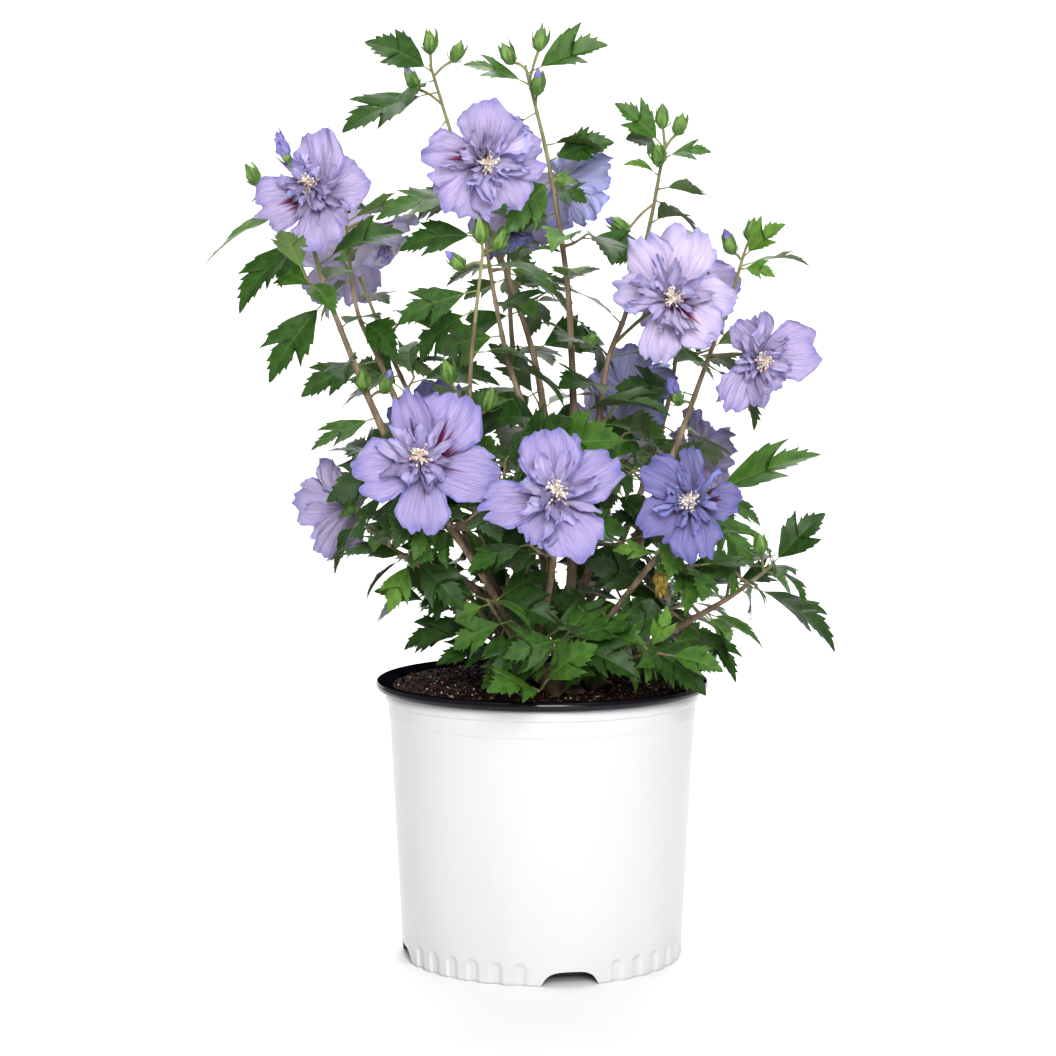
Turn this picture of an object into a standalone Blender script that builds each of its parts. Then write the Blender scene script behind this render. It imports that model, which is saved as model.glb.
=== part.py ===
# Potted rose of sharon: a flowering shrub of several stems in a white nursery pot
import math
import random

import bmesh
import bpy
from mathutils import Vector
from mathutils.bvhtree import BVHTree

# Driving dimensions in metres
GAP = 0.0003                 # clearance between neighbouring pieces
POT_HEIGHT = 0.2345          # floor to the top of the lip
LIP_RADIUS = 0.140
LIP_HEIGHT = 0.0085
NECK_RADIUS = 0.1317         # white band under the lip
NECK_HEIGHT = 0.0085
SHOULDER_RADIUS = 0.1285     # wall just under the second moulded line
SHOULDER_HEIGHT = 0.014
FOOT_RADIUS = 0.1177
WALL = 0.0025
FLOOR = 0.003
FLUTES = 36
FLUTE_HEIGHT = 0.019
FLUTE_DEPTH = 0.0014
SEGMENTS = 2 * FLUTES
RING_SEGMENTS = 48           # round the lip and the potting mix
DRAINS = 4
DRAIN_TURN = math.radians(11)   # first drain, to the right of the front
DRAIN_WIDTH = 0.048
DRAIN_HEIGHT = 0.0115
DRAIN_DEPTH = 0.024
SKIRT_FOOT = 0.2156          # lower edge of the lip's skirt, inside the wall
SKIRT_THICK = 0.0016
SOIL_EDGE = 0.2300
SOIL_TOP = 0.2312
STEM_FOOT = SOIL_TOP + GAP
FLARE = 0.45                 # how much wider a stem is where it leaves the soil

# Growth habit
GOLDEN = math.radians(137.5)
TWIG_FOOT = 0.0014
TWIG_TIP = 0.0009
LEAF_WIDTH = 0.50            # of its length
LEAF_THICK = 0.0022
LEAF_WIDEST = 0.56           # along its length, leaf stalk included
LEAF_ARCH = 0.07             # rise of its middle above the line from root to tip
PETAL_CORNER = 0.94          # reach of a petal's two corners, of its own reach
PETAL_CUP = 0.12             # how far the corners stand in front of the bloom's middle
NOTCH_REACH = 0.34           # between two petals
NOTCH_CUP = 0.06
DROOP = (-16, 42)            # degrees below level, least and most
CROWN_AXIS = Vector((-0.01, 0.05, 0))
MARGIN = 0.0010              # kept free round each leaf, bloom and bud
LIMB_SIDES = 6
SHOOT_SIDES = 3
TRIES = 9                    # turns that a leaf may take to find a free place
OVER_RIM = (0.108, 0.250)    # a leaf whose tip is past this radius stays above this height

# Stems rise from the soil and boughs rise from them: the parent and how far along it, the
# points that the limb passes through, and its radius at the foot and at the tip
LIMBS = {
    "main_stem": (None, (0.019, -0.078), [(-0.010, -0.046, 0.255), (-0.031, -0.040, 0.300)],
        0.0085, 0.0058),
    "right_stem": (None, (0.048, -0.046), [(0.024, -0.008, 0.262), (0.024, 0.002, 0.300)],
        0.0070, 0.0048),
    "thin_stem": (None, (0.002, -0.016), [(-0.024, -0.012, 0.254), (-0.040, -0.014, 0.290)],
        0.0036, 0.0028),
    "rear_stem": (None, (0.026, 0.034), [(0.018, 0.046, 0.262), (0.004, 0.056, 0.312)], 0.0070, 0.0046),
    "left_bough": ("main_stem", 1.0, [(-0.059, -0.045, 0.344), (-0.095, -0.048, 0.388)],
        0.0048, 0.0036),
    "left_rear_bough": ("left_bough", 0.30, [(-0.083, -0.014, 0.400), (-0.113, -0.003, 0.446)],
        0.0034, 0.0026),
    "left_low_bough": ("main_stem", 0.86, [(-0.058, -0.060, 0.318), (-0.095, -0.066, 0.335)],
        0.0040, 0.0032),
    "front_left_bough": ("main_stem", 0.62, [(-0.046, -0.088, 0.325), (-0.068, -0.110, 0.362)],
        0.0030, 0.0024),
    "front_bough": ("main_stem", 0.50, [(0.002, -0.085, 0.300), (0.008, -0.116, 0.340)],
        0.0030, 0.0024),
    "mid_left_bough": ("thin_stem", 1.0, [(-0.046, -0.018, 0.335), (-0.058, -0.030, 0.385)],
        0.0028, 0.0024),
    "mid_bough": ("main_stem", 0.80, [(-0.012, -0.026, 0.340), (-0.008, -0.022, 0.400)],
        0.0034, 0.0028),
    "top_left_bough": ("rear_stem", 0.86, [(0.008, 0.040, 0.360), (0.007, 0.034, 0.420)],
        0.0036, 0.0030),
    "centre_bough": ("right_stem", 1.0, [(0.026, 0.002, 0.355), (0.028, 0.000, 0.410)], 0.0044, 0.0034),
    "right_bough": ("right_stem", 0.74, [(0.042, 0.014, 0.335), (0.044, 0.014, 0.400)], 0.0036, 0.0030),
    "far_right_bough": ("right_stem", 0.55, [(0.058, -0.006, 0.315), (0.090, 0.000, 0.375)],
        0.0036, 0.0030),
    "right_low_bough": ("right_stem", 0.22, [(0.076, -0.028, 0.260), (0.108, -0.045, 0.280)],
        0.0034, 0.0028),
    "front_right_bough": ("right_stem", 0.40, [(0.058, -0.050, 0.295), (0.085, -0.080, 0.335)],
        0.0030, 0.0024),
    "rear_left_bough": ("rear_stem", 0.62, [(-0.030, 0.064, 0.330), (-0.075, 0.078, 0.400)],
        0.0034, 0.0028),
    "rear_bough": ("rear_stem", 1.0, [(-0.004, 0.078, 0.360), (-0.014, 0.092, 0.420)], 0.0038, 0.0030),
    "rear_right_bough": ("rear_stem", 0.38, [(0.058, 0.060, 0.320), (0.088, 0.078, 0.390)],
        0.0034, 0.0028),
    "pruned_stub": ("main_stem", 0.74, [(-0.004, -0.060, 0.300), (0.006, -0.066, 0.312)],
        0.0030, 0.0028),
}

# How each kind of shoot leafs out: distance between leaves, leaf length at the foot and at the
# tip of the shoot, one twig at every so many leaves, and the twig's length
HABITS = {
    "tall": (0.027, 0.090, 0.062, 6, 0.036),
    "open": (0.032, 0.088, 0.058, 8, 0.036),
    "rear": (0.032, 0.082, 0.060, 3, 0.042),
    "short": (0.019, 0.072, 0.054, 2, 0.036),
    "skirt": (0.017, 0.084, 0.066, 1, 0.056),
}

# Leafy shoots: the limb that each grows on and how far along it, the points that it passes
# through and its habit
SHOOTS = {
    "left_tall": ("left_bough", 1.0, [(-0.128, -0.046, 0.440), (-0.162, -0.042, 0.520),
                                      (-0.182, -0.034, 0.574), (-0.200, -0.010, 0.640)], "tall"),
    "left_rear": ("left_rear_bough", 1.0, [(-0.136, 0.008, 0.500), (-0.156, 0.020, 0.545),
                                           (-0.166, 0.040, 0.618)], "open"),
    "left_low": ("left_low_bough", 1.0, [(-0.121, -0.064, 0.348), (-0.149, -0.054, 0.372)], "short"),
    "front_left": ("front_left_bough", 1.0, [(-0.080, -0.122, 0.385), (-0.090, -0.132, 0.410)],
        "short"),
    "front_centre": ("front_bough", 1.0, [(0.010, -0.136, 0.366), (0.009, -0.150, 0.386)], "short"),
    "mid_left": ("mid_left_bough", 1.0, [(-0.060, -0.044, 0.430), (-0.058, -0.058, 0.500),
                                         (-0.048, -0.064, 0.592)], "open"),
    "mid_tall": ("mid_bough", 1.0, [(-0.010, -0.020, 0.444), (-0.029, -0.024, 0.504),
                                    (-0.044, -0.026, 0.582), (-0.050, -0.026, 0.640)], "tall"),
    "top_left": ("top_left_bough", 1.0, [(-0.006, 0.034, 0.500), (-0.032, 0.040, 0.580),
                                         (-0.066, 0.044, 0.660), (-0.094, 0.032, 0.748)], "open"),
    "centre_tall": ("centre_bough", 1.0, [(0.026, 0.002, 0.470), (0.021, 0.004, 0.564),
                                          (0.006, 0.002, 0.661), (-0.014, 0.000, 0.744)], "tall"),
    "right_tall": ("right_bough", 1.0, [(0.053, 0.018, 0.490), (0.071, 0.020, 0.542),
                                        (0.089, 0.012, 0.610), (0.102, 0.000, 0.682)], "tall"),
    "far_right": ("far_right_bough", 1.0, [(0.110, 0.003, 0.423), (0.134, 0.008, 0.488),
                                           (0.158, 0.006, 0.555), (0.168, 0.002, 0.590)], "tall"),
    "right_low": ("right_low_bough", 1.0, [(0.155, -0.058, 0.310), (0.188, -0.064, 0.336)], "short"),
    "front_right": ("front_right_bough", 1.0, [(0.102, -0.098, 0.358), (0.112, -0.108, 0.374)],
        "short"),
    "rear_left": ("rear_left_bough", 1.0, [(-0.120, 0.090, 0.480), (-0.158, 0.098, 0.570)], "rear"),
    "rear_tall": ("rear_bough", 1.0, [(-0.026, 0.100, 0.520), (-0.030, 0.104, 0.630)], "rear"),
    "rear_right": ("rear_right_bough", 1.0, [(0.112, 0.092, 0.470), (0.122, 0.096, 0.550)], "rear"),
    "front_skirt": ("main_stem", 0.26, [(0.010, -0.084, 0.262), (0.016, -0.118, 0.282)], "skirt"),
    "front_left_skirt": ("main_stem", 0.40, [(-0.030, -0.080, 0.286), (-0.044, -0.104, 0.312)],
        "skirt"),
    "left_skirt": ("thin_stem", 0.62, [(-0.052, -0.020, 0.292), (-0.072, -0.030, 0.330)], "skirt"),
    "front_right_skirt": ("right_stem", 0.30, [(0.056, -0.056, 0.258), (0.076, -0.092, 0.280)],
        "skirt"),
    "right_skirt": ("right_stem", 0.48, [(0.068, 0.006, 0.276), (0.112, 0.010, 0.300)], "skirt"),
    "rear_left_skirt": ("rear_stem", 0.50, [(-0.022, 0.064, 0.290), (-0.056, 0.082, 0.318)], "skirt"),
    "rear_skirt": ("rear_stem", 0.32, [(0.018, 0.084, 0.262), (0.012, 0.122, 0.284)], "skirt"),
    "rear_right_skirt": ("rear_stem", 0.24, [(0.066, 0.058, 0.256), (0.096, 0.080, 0.282)], "skirt"),
    "right_mid": ("far_right_bough", 0.72, [(0.112, -0.022, 0.376), (0.142, -0.030, 0.392)], "short"),
    "left_fill": ("left_bough", 0.62, [(-0.098, -0.074, 0.386), (-0.122, -0.094, 0.400)], "short"),
    "centre_fill": ("mid_bough", 0.50, [(-0.022, -0.058, 0.386), (-0.034, -0.088, 0.404)], "short"),
    "right_fill": ("right_bough", 0.50, [(0.060, -0.024, 0.392), (0.074, -0.054, 0.412)], "short"),
    "rear_fill": ("rear_bough", 0.50, [(0.028, 0.094, 0.396), (0.050, 0.112, 0.412)], "short"),
}

# Petals of a bloom: turn in degrees from its right-hand side as seen from its front, reach and
# half width as shares of the bloom's width
PETALS = {
    "even": ((18, 0.50, 0.19), (90, 0.48, 0.20), (162, 0.50, 0.18), (234, 0.47, 0.20), (306, 0.51, 0.19)),
    "tall_top": ((19, 0.44, 0.20), (85, 0.55, 0.20), (196, 0.54, 0.20), (277, 0.52, 0.18), (311, 0.38, 0.14)),
    "six": ((9, 0.45, 0.17), (44, 0.42, 0.13), (92, 0.48, 0.20), (175, 0.50, 0.19), (232, 0.49, 0.20),
            (298, 0.44, 0.22)),
    "narrow_foot": ((69, 0.57, 0.21), (115, 0.53, 0.17), (170, 0.42, 0.15), (261, 0.52, 0.14),
                    (318, 0.50, 0.17), (352, 0.52, 0.20)),
    "to_right": ((11, 0.55, 0.24), (84, 0.42, 0.09), (124, 0.38, 0.12), (232, 0.58, 0.16), (272, 0.45, 0.11),
                 (312, 0.36, 0.15)),
    "ears": ((59, 0.58, 0.22), (106, 0.56, 0.13), (188, 0.52, 0.20), (268, 0.50, 0.17), (347, 0.54, 0.20)),
    "windmill": ((26, 0.54, 0.18), (93, 0.51, 0.21), (193, 0.54, 0.16), (248, 0.38, 0.15), (299, 0.51, 0.21)),
    "ragged": ((96, 0.44, 0.09), (146, 0.50, 0.16), (217, 0.50, 0.19), (282, 0.56, 0.19), (357, 0.42, 0.15)),
}

# Blooms: the shoot and how far along it, the centre, the way it faces, its width and its petals
BLOOMS = [
    ("left_tall", 0.90, (-0.182, -0.058, 0.637), (-0.25, -0.95, 0.20), 0.098, "tall_top"),
    ("left_rear", 0.96, (-0.140, 0.052, 0.606), (0.62, 0.10, -0.72), 0.088, "even"),
    ("mid_tall", 0.97, (-0.046, -0.068, 0.662), (0.20, -0.95, -0.10), 0.106, "six"),
    ("centre_tall", 0.70, (0.023, 0.030, 0.650), (0.76, 0.60, -0.10), 0.092, "even"),
    ("mid_tall", 0.80, (-0.030, 0.000, 0.604), (0.35, 0.25, -0.90), 0.052, "even"),
    ("right_tall", 0.40, (0.101, -0.062, 0.553), (-0.05, -0.98, 0.10), 0.106, "narrow_foot"),
    ("far_right", 0.60, (0.175, -0.050, 0.505), (0.25, -0.92, -0.05), 0.094, "to_right"),
    ("right_tall", 0.14, (0.076, 0.052, 0.474), (0.35, 0.92, 0.10), 0.084, "even"),
    ("front_left", 0.95, (-0.092, -0.166, 0.424), (0.05, -0.97, 0.18), 0.108, "ears"),
    ("front_centre", 0.95, (0.007, -0.184, 0.400), (0.00, -0.92, 0.38), 0.108, "windmill"),
    ("front_right", 0.95, (0.117, -0.146, 0.396), (-0.30, -0.90, 0.24), 0.096, "ragged"),
    ("left_low", 0.95, (-0.166, -0.034, 0.380), (-0.82, 0.52, -0.15), 0.094, "even"),
    ("rear_left", 0.95, (-0.172, 0.138, 0.590), (-0.45, 0.88, 0.15), 0.102, "even"),
    ("rear_tall", 0.95, (-0.026, 0.150, 0.640), (0.10, 0.97, 0.20), 0.104, "six"),
    ("rear_right", 0.95, (0.128, 0.144, 0.556), (0.25, 0.95, 0.12), 0.104, "even"),
    ("rear_left", 0.20, (-0.092, 0.142, 0.436), (-0.30, 0.92, 0.22), 0.098, "even"),
    ("rear_fill", 0.95, (0.062, 0.158, 0.424), (0.15, 0.95, 0.28), 0.104, "windmill"),
    ("rear_right", 0.16, (0.138, 0.108, 0.412), (0.80, 0.56, 0.15), 0.094, "even"),
]

# Buds: the shoot and how far along it, and the bud's centre
BUDS = [
    ("top_left", 0.99, (-0.094, 0.030, 0.764)), ("top_left", 0.97, (-0.072, 0.034, 0.757)),
    ("top_left", 0.90, (-0.108, 0.026, 0.733)), ("centre_tall", 0.99, (-0.028, 0.000, 0.752)),
    ("centre_tall", 0.96, (-0.002, -0.006, 0.763)), ("centre_tall", 0.90, (-0.004, -0.014, 0.726)),
    ("mid_left", 0.95, (-0.068, -0.072, 0.580)), ("mid_left", 0.99, (-0.050, -0.066, 0.604)),
    ("mid_left", 0.97, (-0.035, -0.070, 0.597)), ("right_tall", 0.99, (0.099, -0.002, 0.700)),
    ("right_tall", 0.97, (0.113, -0.006, 0.694)), ("right_tall", 0.93, (0.096, -0.010, 0.668)),
    ("right_tall", 0.82, (0.066, 0.008, 0.612)), ("far_right", 0.99, (0.174, 0.000, 0.607)),
    ("far_right", 0.97, (0.156, -0.002, 0.596)), ("centre_tall", 0.32, (0.038, -0.006, 0.516)),
    ("left_tall", 0.36, (-0.146, -0.056, 0.484)), ("left_tall", 0.34, (-0.128, -0.058, 0.482)),
    ("left_tall", 0.94, (-0.238, -0.014, 0.652)), ("mid_left", 0.36, (-0.076, -0.056, 0.490)),
    ("mid_left", 0.30, (-0.044, -0.056, 0.468)), ("far_right", 0.42, (0.112, -0.012, 0.470)),
    ("right_low", 0.90, (0.176, -0.080, 0.352)), ("rear_left", 0.99, (-0.168, 0.090, 0.588)),
    ("rear_tall", 0.99, (-0.040, 0.106, 0.650)), ("rear_right", 0.99, (0.112, 0.100, 0.568)),
]

# Leaves that draw the crown's outline: the shoot and how far along it, and the leaf's tip
OUTER_LEAVES = [
    ("top_left", 0.98, (-0.146, 0.010, 0.766)), ("top_left", 0.94, (-0.166, 0.014, 0.688)),
    ("centre_tall", 0.95, (-0.064, -0.012, 0.746)), ("centre_tall", 0.98, (0.054, -0.014, 0.757)),
    ("centre_tall", 0.76, (0.058, -0.014, 0.682)), ("right_tall", 0.98, (0.060, -0.016, 0.712)),
    ("right_tall", 0.95, (0.138, -0.014, 0.676)), ("right_tall", 0.90, (0.068, -0.014, 0.664)),
    ("left_tall", 0.97, (-0.276, -0.034, 0.580)), ("left_tall", 0.86, (-0.250, -0.050, 0.546)),
    ("left_tall", 0.66, (-0.222, -0.062, 0.486)), ("left_tall", 0.28, (-0.188, -0.062, 0.430)),
    ("left_tall", 0.10, (-0.176, -0.070, 0.394)), ("left_low", 0.20, (-0.122, -0.090, 0.300)),
    ("mid_tall", 0.98, (-0.136, -0.040, 0.622)), ("mid_left", 0.84, (-0.116, -0.082, 0.534)),
    ("far_right", 0.98, (0.200, -0.020, 0.612)), ("far_right", 0.94, (0.192, -0.016, 0.572)),
    ("right_mid", 0.90, (0.226, -0.056, 0.424)),
    ("right_mid", 0.80, (0.170, -0.064, 0.336)),
    ("right_low", 0.95, (0.229, -0.072, 0.378)), ("right_low", 0.72, (0.241, -0.080, 0.272)),
    ("right_low", 0.42, (0.202, -0.098, 0.280)), ("right_low", 0.30, (0.182, -0.060, 0.266)),
    ("right_low", 0.12, (0.158, -0.084, 0.246)), ("front_right_skirt", 0.92, (0.133, -0.114, 0.243)),
]

# Colours as red, green and blue, with roughness
WHITE_PLASTIC = ((0.86, 0.86, 0.90), 0.35)
BLACK_PLASTIC = ((0.010, 0.009, 0.013), 0.25)
POTTING_MIX = ((0.045, 0.020, 0.012), 0.95)
OLD_BARK = ((0.13, 0.085, 0.055), 0.85)
GREEN_BARK = ((0.26, 0.22, 0.13), 0.75)
FOLIAGE = ((0.045, 0.16, 0.030), 0.55)


# Smooth line through a few points
class Line:
    def __init__(self, points, steps=2, start_way=None):
        self.start_way = start_way
        spots = [Vector(p) for p in points]
        ends = [2 * spots[0] - spots[1]] + spots + [2 * spots[-1] - spots[-2]]
        self.spots = [spots[0]]
        for a, b, c, d in zip(ends, ends[1:], ends[2:], ends[3:]):
            for step in range(1, steps + 1):
                t = step / steps
                self.spots.append(0.5 * (2 * b + (c - a) * t + (2 * a - 5 * b + 4 * c - d) * t ** 2
                                         + (3 * b - a - 3 * c + d) * t ** 3))
        self.marks = [0.0]
        for a, b in zip(self.spots, self.spots[1:]):
            self.marks.append(self.marks[-1] + (b - a).length)
        self.length = self.marks[-1]

    def spot(self, share):
        reach = min(max(share, 0.0), 1.0) * self.length
        for a, b, low, high in zip(self.spots, self.spots[1:], self.marks, self.marks[1:]):
            if reach <= high:
                return a.lerp(b, (reach - low) / (high - low))
        return self.spots[-1].copy()

    def way(self, share):
        low, high = max(share - 0.02, 0.0), min(share + 0.02, 1.0)
        return (self.spot(high) - self.spot(low)).normalized()


# Closed shapes, each as its points and faces
def tube(line, foot, tip, sides, from_soil=False):
    points, faces = [], []
    side = line.way(0).orthogonal().normalized()
    rings = len(line.spots)
    for ring, (spot, mark) in enumerate(zip(line.spots, line.marks)):
        share = mark / line.length
        way = line.start_way if ring == 0 and line.start_way else line.way(share)
        side = (side - way * side.dot(way)).normalized()
        across = way.cross(side)
        radius = foot + (tip - foot) * share
        if from_soil:
            radius *= 1 + FLARE * max(0.0, 1 - 3 * share) ** 2
        for k in range(sides):
            turn = math.tau * k / sides
            point = spot + radius * (side * math.cos(turn) + across * math.sin(turn))
            if from_soil and ring == 0:
                point += way * ((STEM_FOOT - point.z) / way.z)
            points.append(point)
    for ring in range(rings - 1):
        for k in range(sides):
            a, b = ring * sides + k, ring * sides + (k + 1) % sides
            faces.append((a, b, b + sides, a + sides))
    faces.append(tuple(reversed(range(sides))))
    faces.append(tuple(range((rings - 1) * sides, rings * sides)))
    return points, faces


# Blade over a ring of edge points, with a ridge point above and a keel point below
def blade(ring, ridge, keel):
    points = ring + [ridge, keel]
    count = len(ring)
    faces = [(k, (k + 1) % count, count) for k in range(count)]
    faces += [((k + 1) % count, k, count + 1) for k in range(count)]
    return points, faces


def leaf(root, way, up, length, grow=0.0):
    side = way.cross(up).normalized()
    normal = side.cross(way)
    half = LEAF_WIDTH * length / 2 + grow
    middle = root + way * (LEAF_WIDEST * length) + normal * (LEAF_ARCH * length)
    ridge = middle + normal * (LEAF_THICK + grow)
    tip = root + way * (length + grow)
    points = [root - way * grow, middle + side * half, tip, middle - side * half, ridge]
    return points, [(0, 1, 4), (1, 2, 4), (2, 3, 4), (3, 0, 4), (1, 0, 3), (2, 1, 3)]


def spindle(foot, head, radius, sides, widest, grow=0.0):
    way = (head - foot).normalized()
    side = way.orthogonal().normalized()
    across = way.cross(side)
    middle = foot.lerp(head, widest)
    ring = []
    for k in range(sides):
        turn = math.tau * k / sides
        ring.append(middle + (radius + grow) * (side * math.cos(turn) + across * math.sin(turn)))
    return blade(ring, head + way * grow, foot - way * grow)


# Corners of the petals and the notches between them, as turn, reach and cup
def petal_edge(petals):
    edge = []
    for (turn, reach, half), (after, after_reach, after_half) in zip(petals, petals[1:] + petals[:1]):
        spread = math.degrees(math.atan(half / (0.76 * reach)))
        after_spread = math.degrees(math.atan(after_half / (0.76 * after_reach)))
        gap = (after - turn) % 360
        share = min(1.0, (gap - 6) / (spread + after_spread))
        near, far = turn + share * spread, turn + gap - share * after_spread
        edge.append((near, PETAL_CORNER * reach, PETAL_CUP))
        edge.append((0.5 * (near + far), NOTCH_REACH, NOTCH_CUP))
        edge.append((far, PETAL_CORNER * after_reach, PETAL_CUP))
    return edge


# Broad petals of uneven size in one cupped rosette, with a full tuft on a calyx
def bloom(centre, facing, width, petals, grow=0.0):
    face = Vector(facing).normalized()
    side = Vector((0, 0, 1)).cross(face).normalized()
    across = face.cross(side)
    ring = []
    for turn, reach, cup in petal_edge(PETALS[petals]):
        outward = side * math.cos(math.radians(turn)) + across * math.sin(math.radians(turn))
        ring.append(centre + outward * (reach * width + grow) + face * cup * width)
    shape = blade(ring, centre + face * (0.06 * width + grow), centre - face * (0.03 * width + grow))
    tuft = spindle(centre - face * 0.19 * width, centre + face * 0.17 * width, 0.14 * width, 5, 0.60, grow)
    return [shape, tuft]


# Space that is already taken, each shape with the shoot that it belongs to, and the blooms and
# buds of each shoot
taken = []
shoot_flowers = {name: [] for name in SHOOTS}


def tree_of(shape):
    points, faces = shape
    middle = sum(points, Vector()) / len(points)
    reach = max((p - middle).length for p in points)
    return BVHTree.FromPolygons(points, faces), middle, reach


def take(owner, kind, shape):
    taken.append((owner, kind, *tree_of(shape)))


def take_object(made):
    points = [vertex.co.copy() for vertex in made.data.vertices]
    take(made.name, "pot", (points, [tuple(face.vertices) for face in made.data.polygons]))


def is_free(shape, skip):
    tree, middle, reach = tree_of(shape)
    for owner, kind, other, spot, span in taken:
        if (owner, kind) in skip or (middle - spot).length > reach + span:
            continue
        if tree.overlap(other):
            return False
    return True


# Limbs and shoot stems as lines
def limb_line(name):
    parent, where, points = LIMBS[name][:3]
    if parent is None:
        return Line([(*where, STEM_FOOT)] + points)
    return branch_line(parent, where, points)


def branch_line(parent, where, points):
    line = limb_line(parent)
    start = line.spot(where)
    if where < 1.0:
        return Line([start] + points)
    return Line([start + line.way(1.0) * GAP] + points, 2, line.way(1.0))


def limb_radius(name, share):
    foot, tip = LIMBS[name][3:]
    return foot + (tip - foot) * share


# Scene objects
def clear_scene():
    for old in list(bpy.data.objects):
        bpy.data.objects.remove(old, do_unlink=True)


def make_object(name, shape, collection=None):
    points, faces = shape
    mesh = bpy.data.meshes.new(name)
    mesh.from_pydata([tuple(p) for p in points], [], faces)
    made = bpy.data.objects.new(name, mesh)
    (collection or bpy.context.scene.collection).objects.link(made)
    shaped = bmesh.new()
    shaped.from_mesh(mesh)
    bmesh.ops.recalc_face_normals(shaped, faces=shaped.faces)
    shaped.to_mesh(mesh)
    shaped.free()
    return made


def finish(made, look):
    colour, roughness = look
    material = bpy.data.materials.new(made.name)
    material.use_nodes = True
    shader = material.node_tree.nodes["Principled BSDF"]
    shader.inputs["Base Color"].default_value = (*colour, 1)
    shader.inputs["Roughness"].default_value = roughness
    shader.inputs["Metallic"].default_value = 0.0
    material.diffuse_color = (*colour, 1)
    made.data.materials.clear()
    made.data.materials.append(material)


# Joins shapes to an object, or cuts them from it, and drops the tools
def combine(made, shapes, operation):
    group = bpy.data.collections.new(made.name + "_tools")
    for shape in shapes:
        make_object(made.name + "_tool", shape, group)
    join = made.modifiers.new(operation.lower(), "BOOLEAN")
    join.operation = operation
    join.operand_type = "COLLECTION"
    join.collection = group
    bpy.context.scene.collection.children.link(group)
    view = bpy.context.evaluated_depsgraph_get()
    joined = bpy.data.meshes.new_from_object(made.evaluated_get(view))
    made.modifiers.clear()
    made.data = joined
    for tool in list(group.objects):
        bpy.data.objects.remove(tool, do_unlink=True)
    bpy.data.collections.remove(group)


# Keeps the largest closed body of a mesh, which fills sealed hollows and drops loose scraps
def keep_body(made):
    shaped = bmesh.new()
    shaped.from_mesh(made.data)
    seen, bodies = set(), []
    for face in shaped.faces:
        if face in seen:
            continue
        body, front = [], [face]
        seen.add(face)
        while front:
            current = front.pop()
            body.append(current)
            for edge in current.edges:
                for beside in edge.link_faces:
                    if beside not in seen:
                        seen.add(beside)
                        front.append(beside)
        bodies.append(body)
    bodies.sort(key=len)
    for body in bodies[:-1]:
        bmesh.ops.delete(shaped, geom=body, context="FACES")
    shaped.to_mesh(made.data)
    shaped.free()


# Pot, lip and potting mix
def lathe(profile, segments, radius_at=None):
    points, faces = [], []
    for row, (radius, height) in enumerate(profile):
        for k in range(segments):
            turn = math.tau * k / segments
            reach = radius_at(row, k) if radius_at else radius
            points.append(Vector((reach * math.cos(turn), reach * math.sin(turn), height)))
    for row in range(len(profile) - 1):
        for k in range(segments):
            a, b = row * segments + k, row * segments + (k + 1) % segments
            faces.append((a, b, b + segments, a + segments))
    return points, faces


def close_ends(shape, segments):
    points, faces = shape
    last = len(points) - segments
    return points, faces + [tuple(reversed(range(segments))), tuple(range(last, len(points)))]


def wall_radius(height):
    low = FOOT_RADIUS
    high = SHOULDER_RADIUS
    return low + (high - low) * height / shoulder_height()


def shoulder_height():
    return POT_HEIGHT - LIP_HEIGHT - NECK_HEIGHT - SHOULDER_HEIGHT


def wall_top():
    return POT_HEIGHT - LIP_HEIGHT - GAP


# Inner face of the wall above the shoulder
def throat_radius(height):
    share = (height - shoulder_height()) / (wall_top() - shoulder_height())
    return SHOULDER_RADIUS - WALL + (NECK_RADIUS - SHOULDER_RADIUS) * share


def pocket(turn, width, top_width, near, low, high):
    outward = Vector((math.cos(turn), math.sin(turn), 0))
    side = Vector((-math.sin(turn), math.cos(turn), 0))
    far = FOOT_RADIUS + WALL
    points = []
    for height, across in ((low, width / 2), (high, top_width / 2)):
        for reach, sign in ((near, -1), (far, -1), (far, 1), (near, 1)):
            points.append(outward * reach + side * sign * across + Vector((0, 0, height)))
    faces = [(3, 2, 1, 0), (4, 5, 6, 7)] + [(k, (k + 1) % 4, (k + 1) % 4 + 4, k + 4) for k in range(4)]
    return points, faces


def pocket_turns():
    return [DRAIN_TURN - math.pi / 2 + math.tau * k / DRAINS for k in range(DRAINS)]


# Inner block that roofs one drain pocket, kept inside the wall's outer face
def pocket_roof(turn, extra):
    outward = Vector((math.cos(turn), math.sin(turn), 0))
    side = Vector((-math.sin(turn), math.cos(turn), 0))
    near = FOOT_RADIUS - DRAIN_DEPTH - WALL - extra
    across, top = DRAIN_WIDTH / 2 + WALL + extra, DRAIN_HEIGHT + WALL + extra
    far = math.sqrt((FOOT_RADIUS - 0.4 * WALL) ** 2 - across ** 2) if extra == 0 else FOOT_RADIUS + WALL
    points = []
    for height in (FLOOR / 2, top):
        for reach, sign in ((near, -1), (far, -1), (far, 1), (near, 1)):
            points.append(outward * reach + side * sign * across + Vector((0, 0, height)))
    faces = [(3, 2, 1, 0), (4, 5, 6, 7)] + [(k, (k + 1) % 4, (k + 1) % 4 + 4, k + 4) for k in range(4)]
    return points, faces


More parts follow.
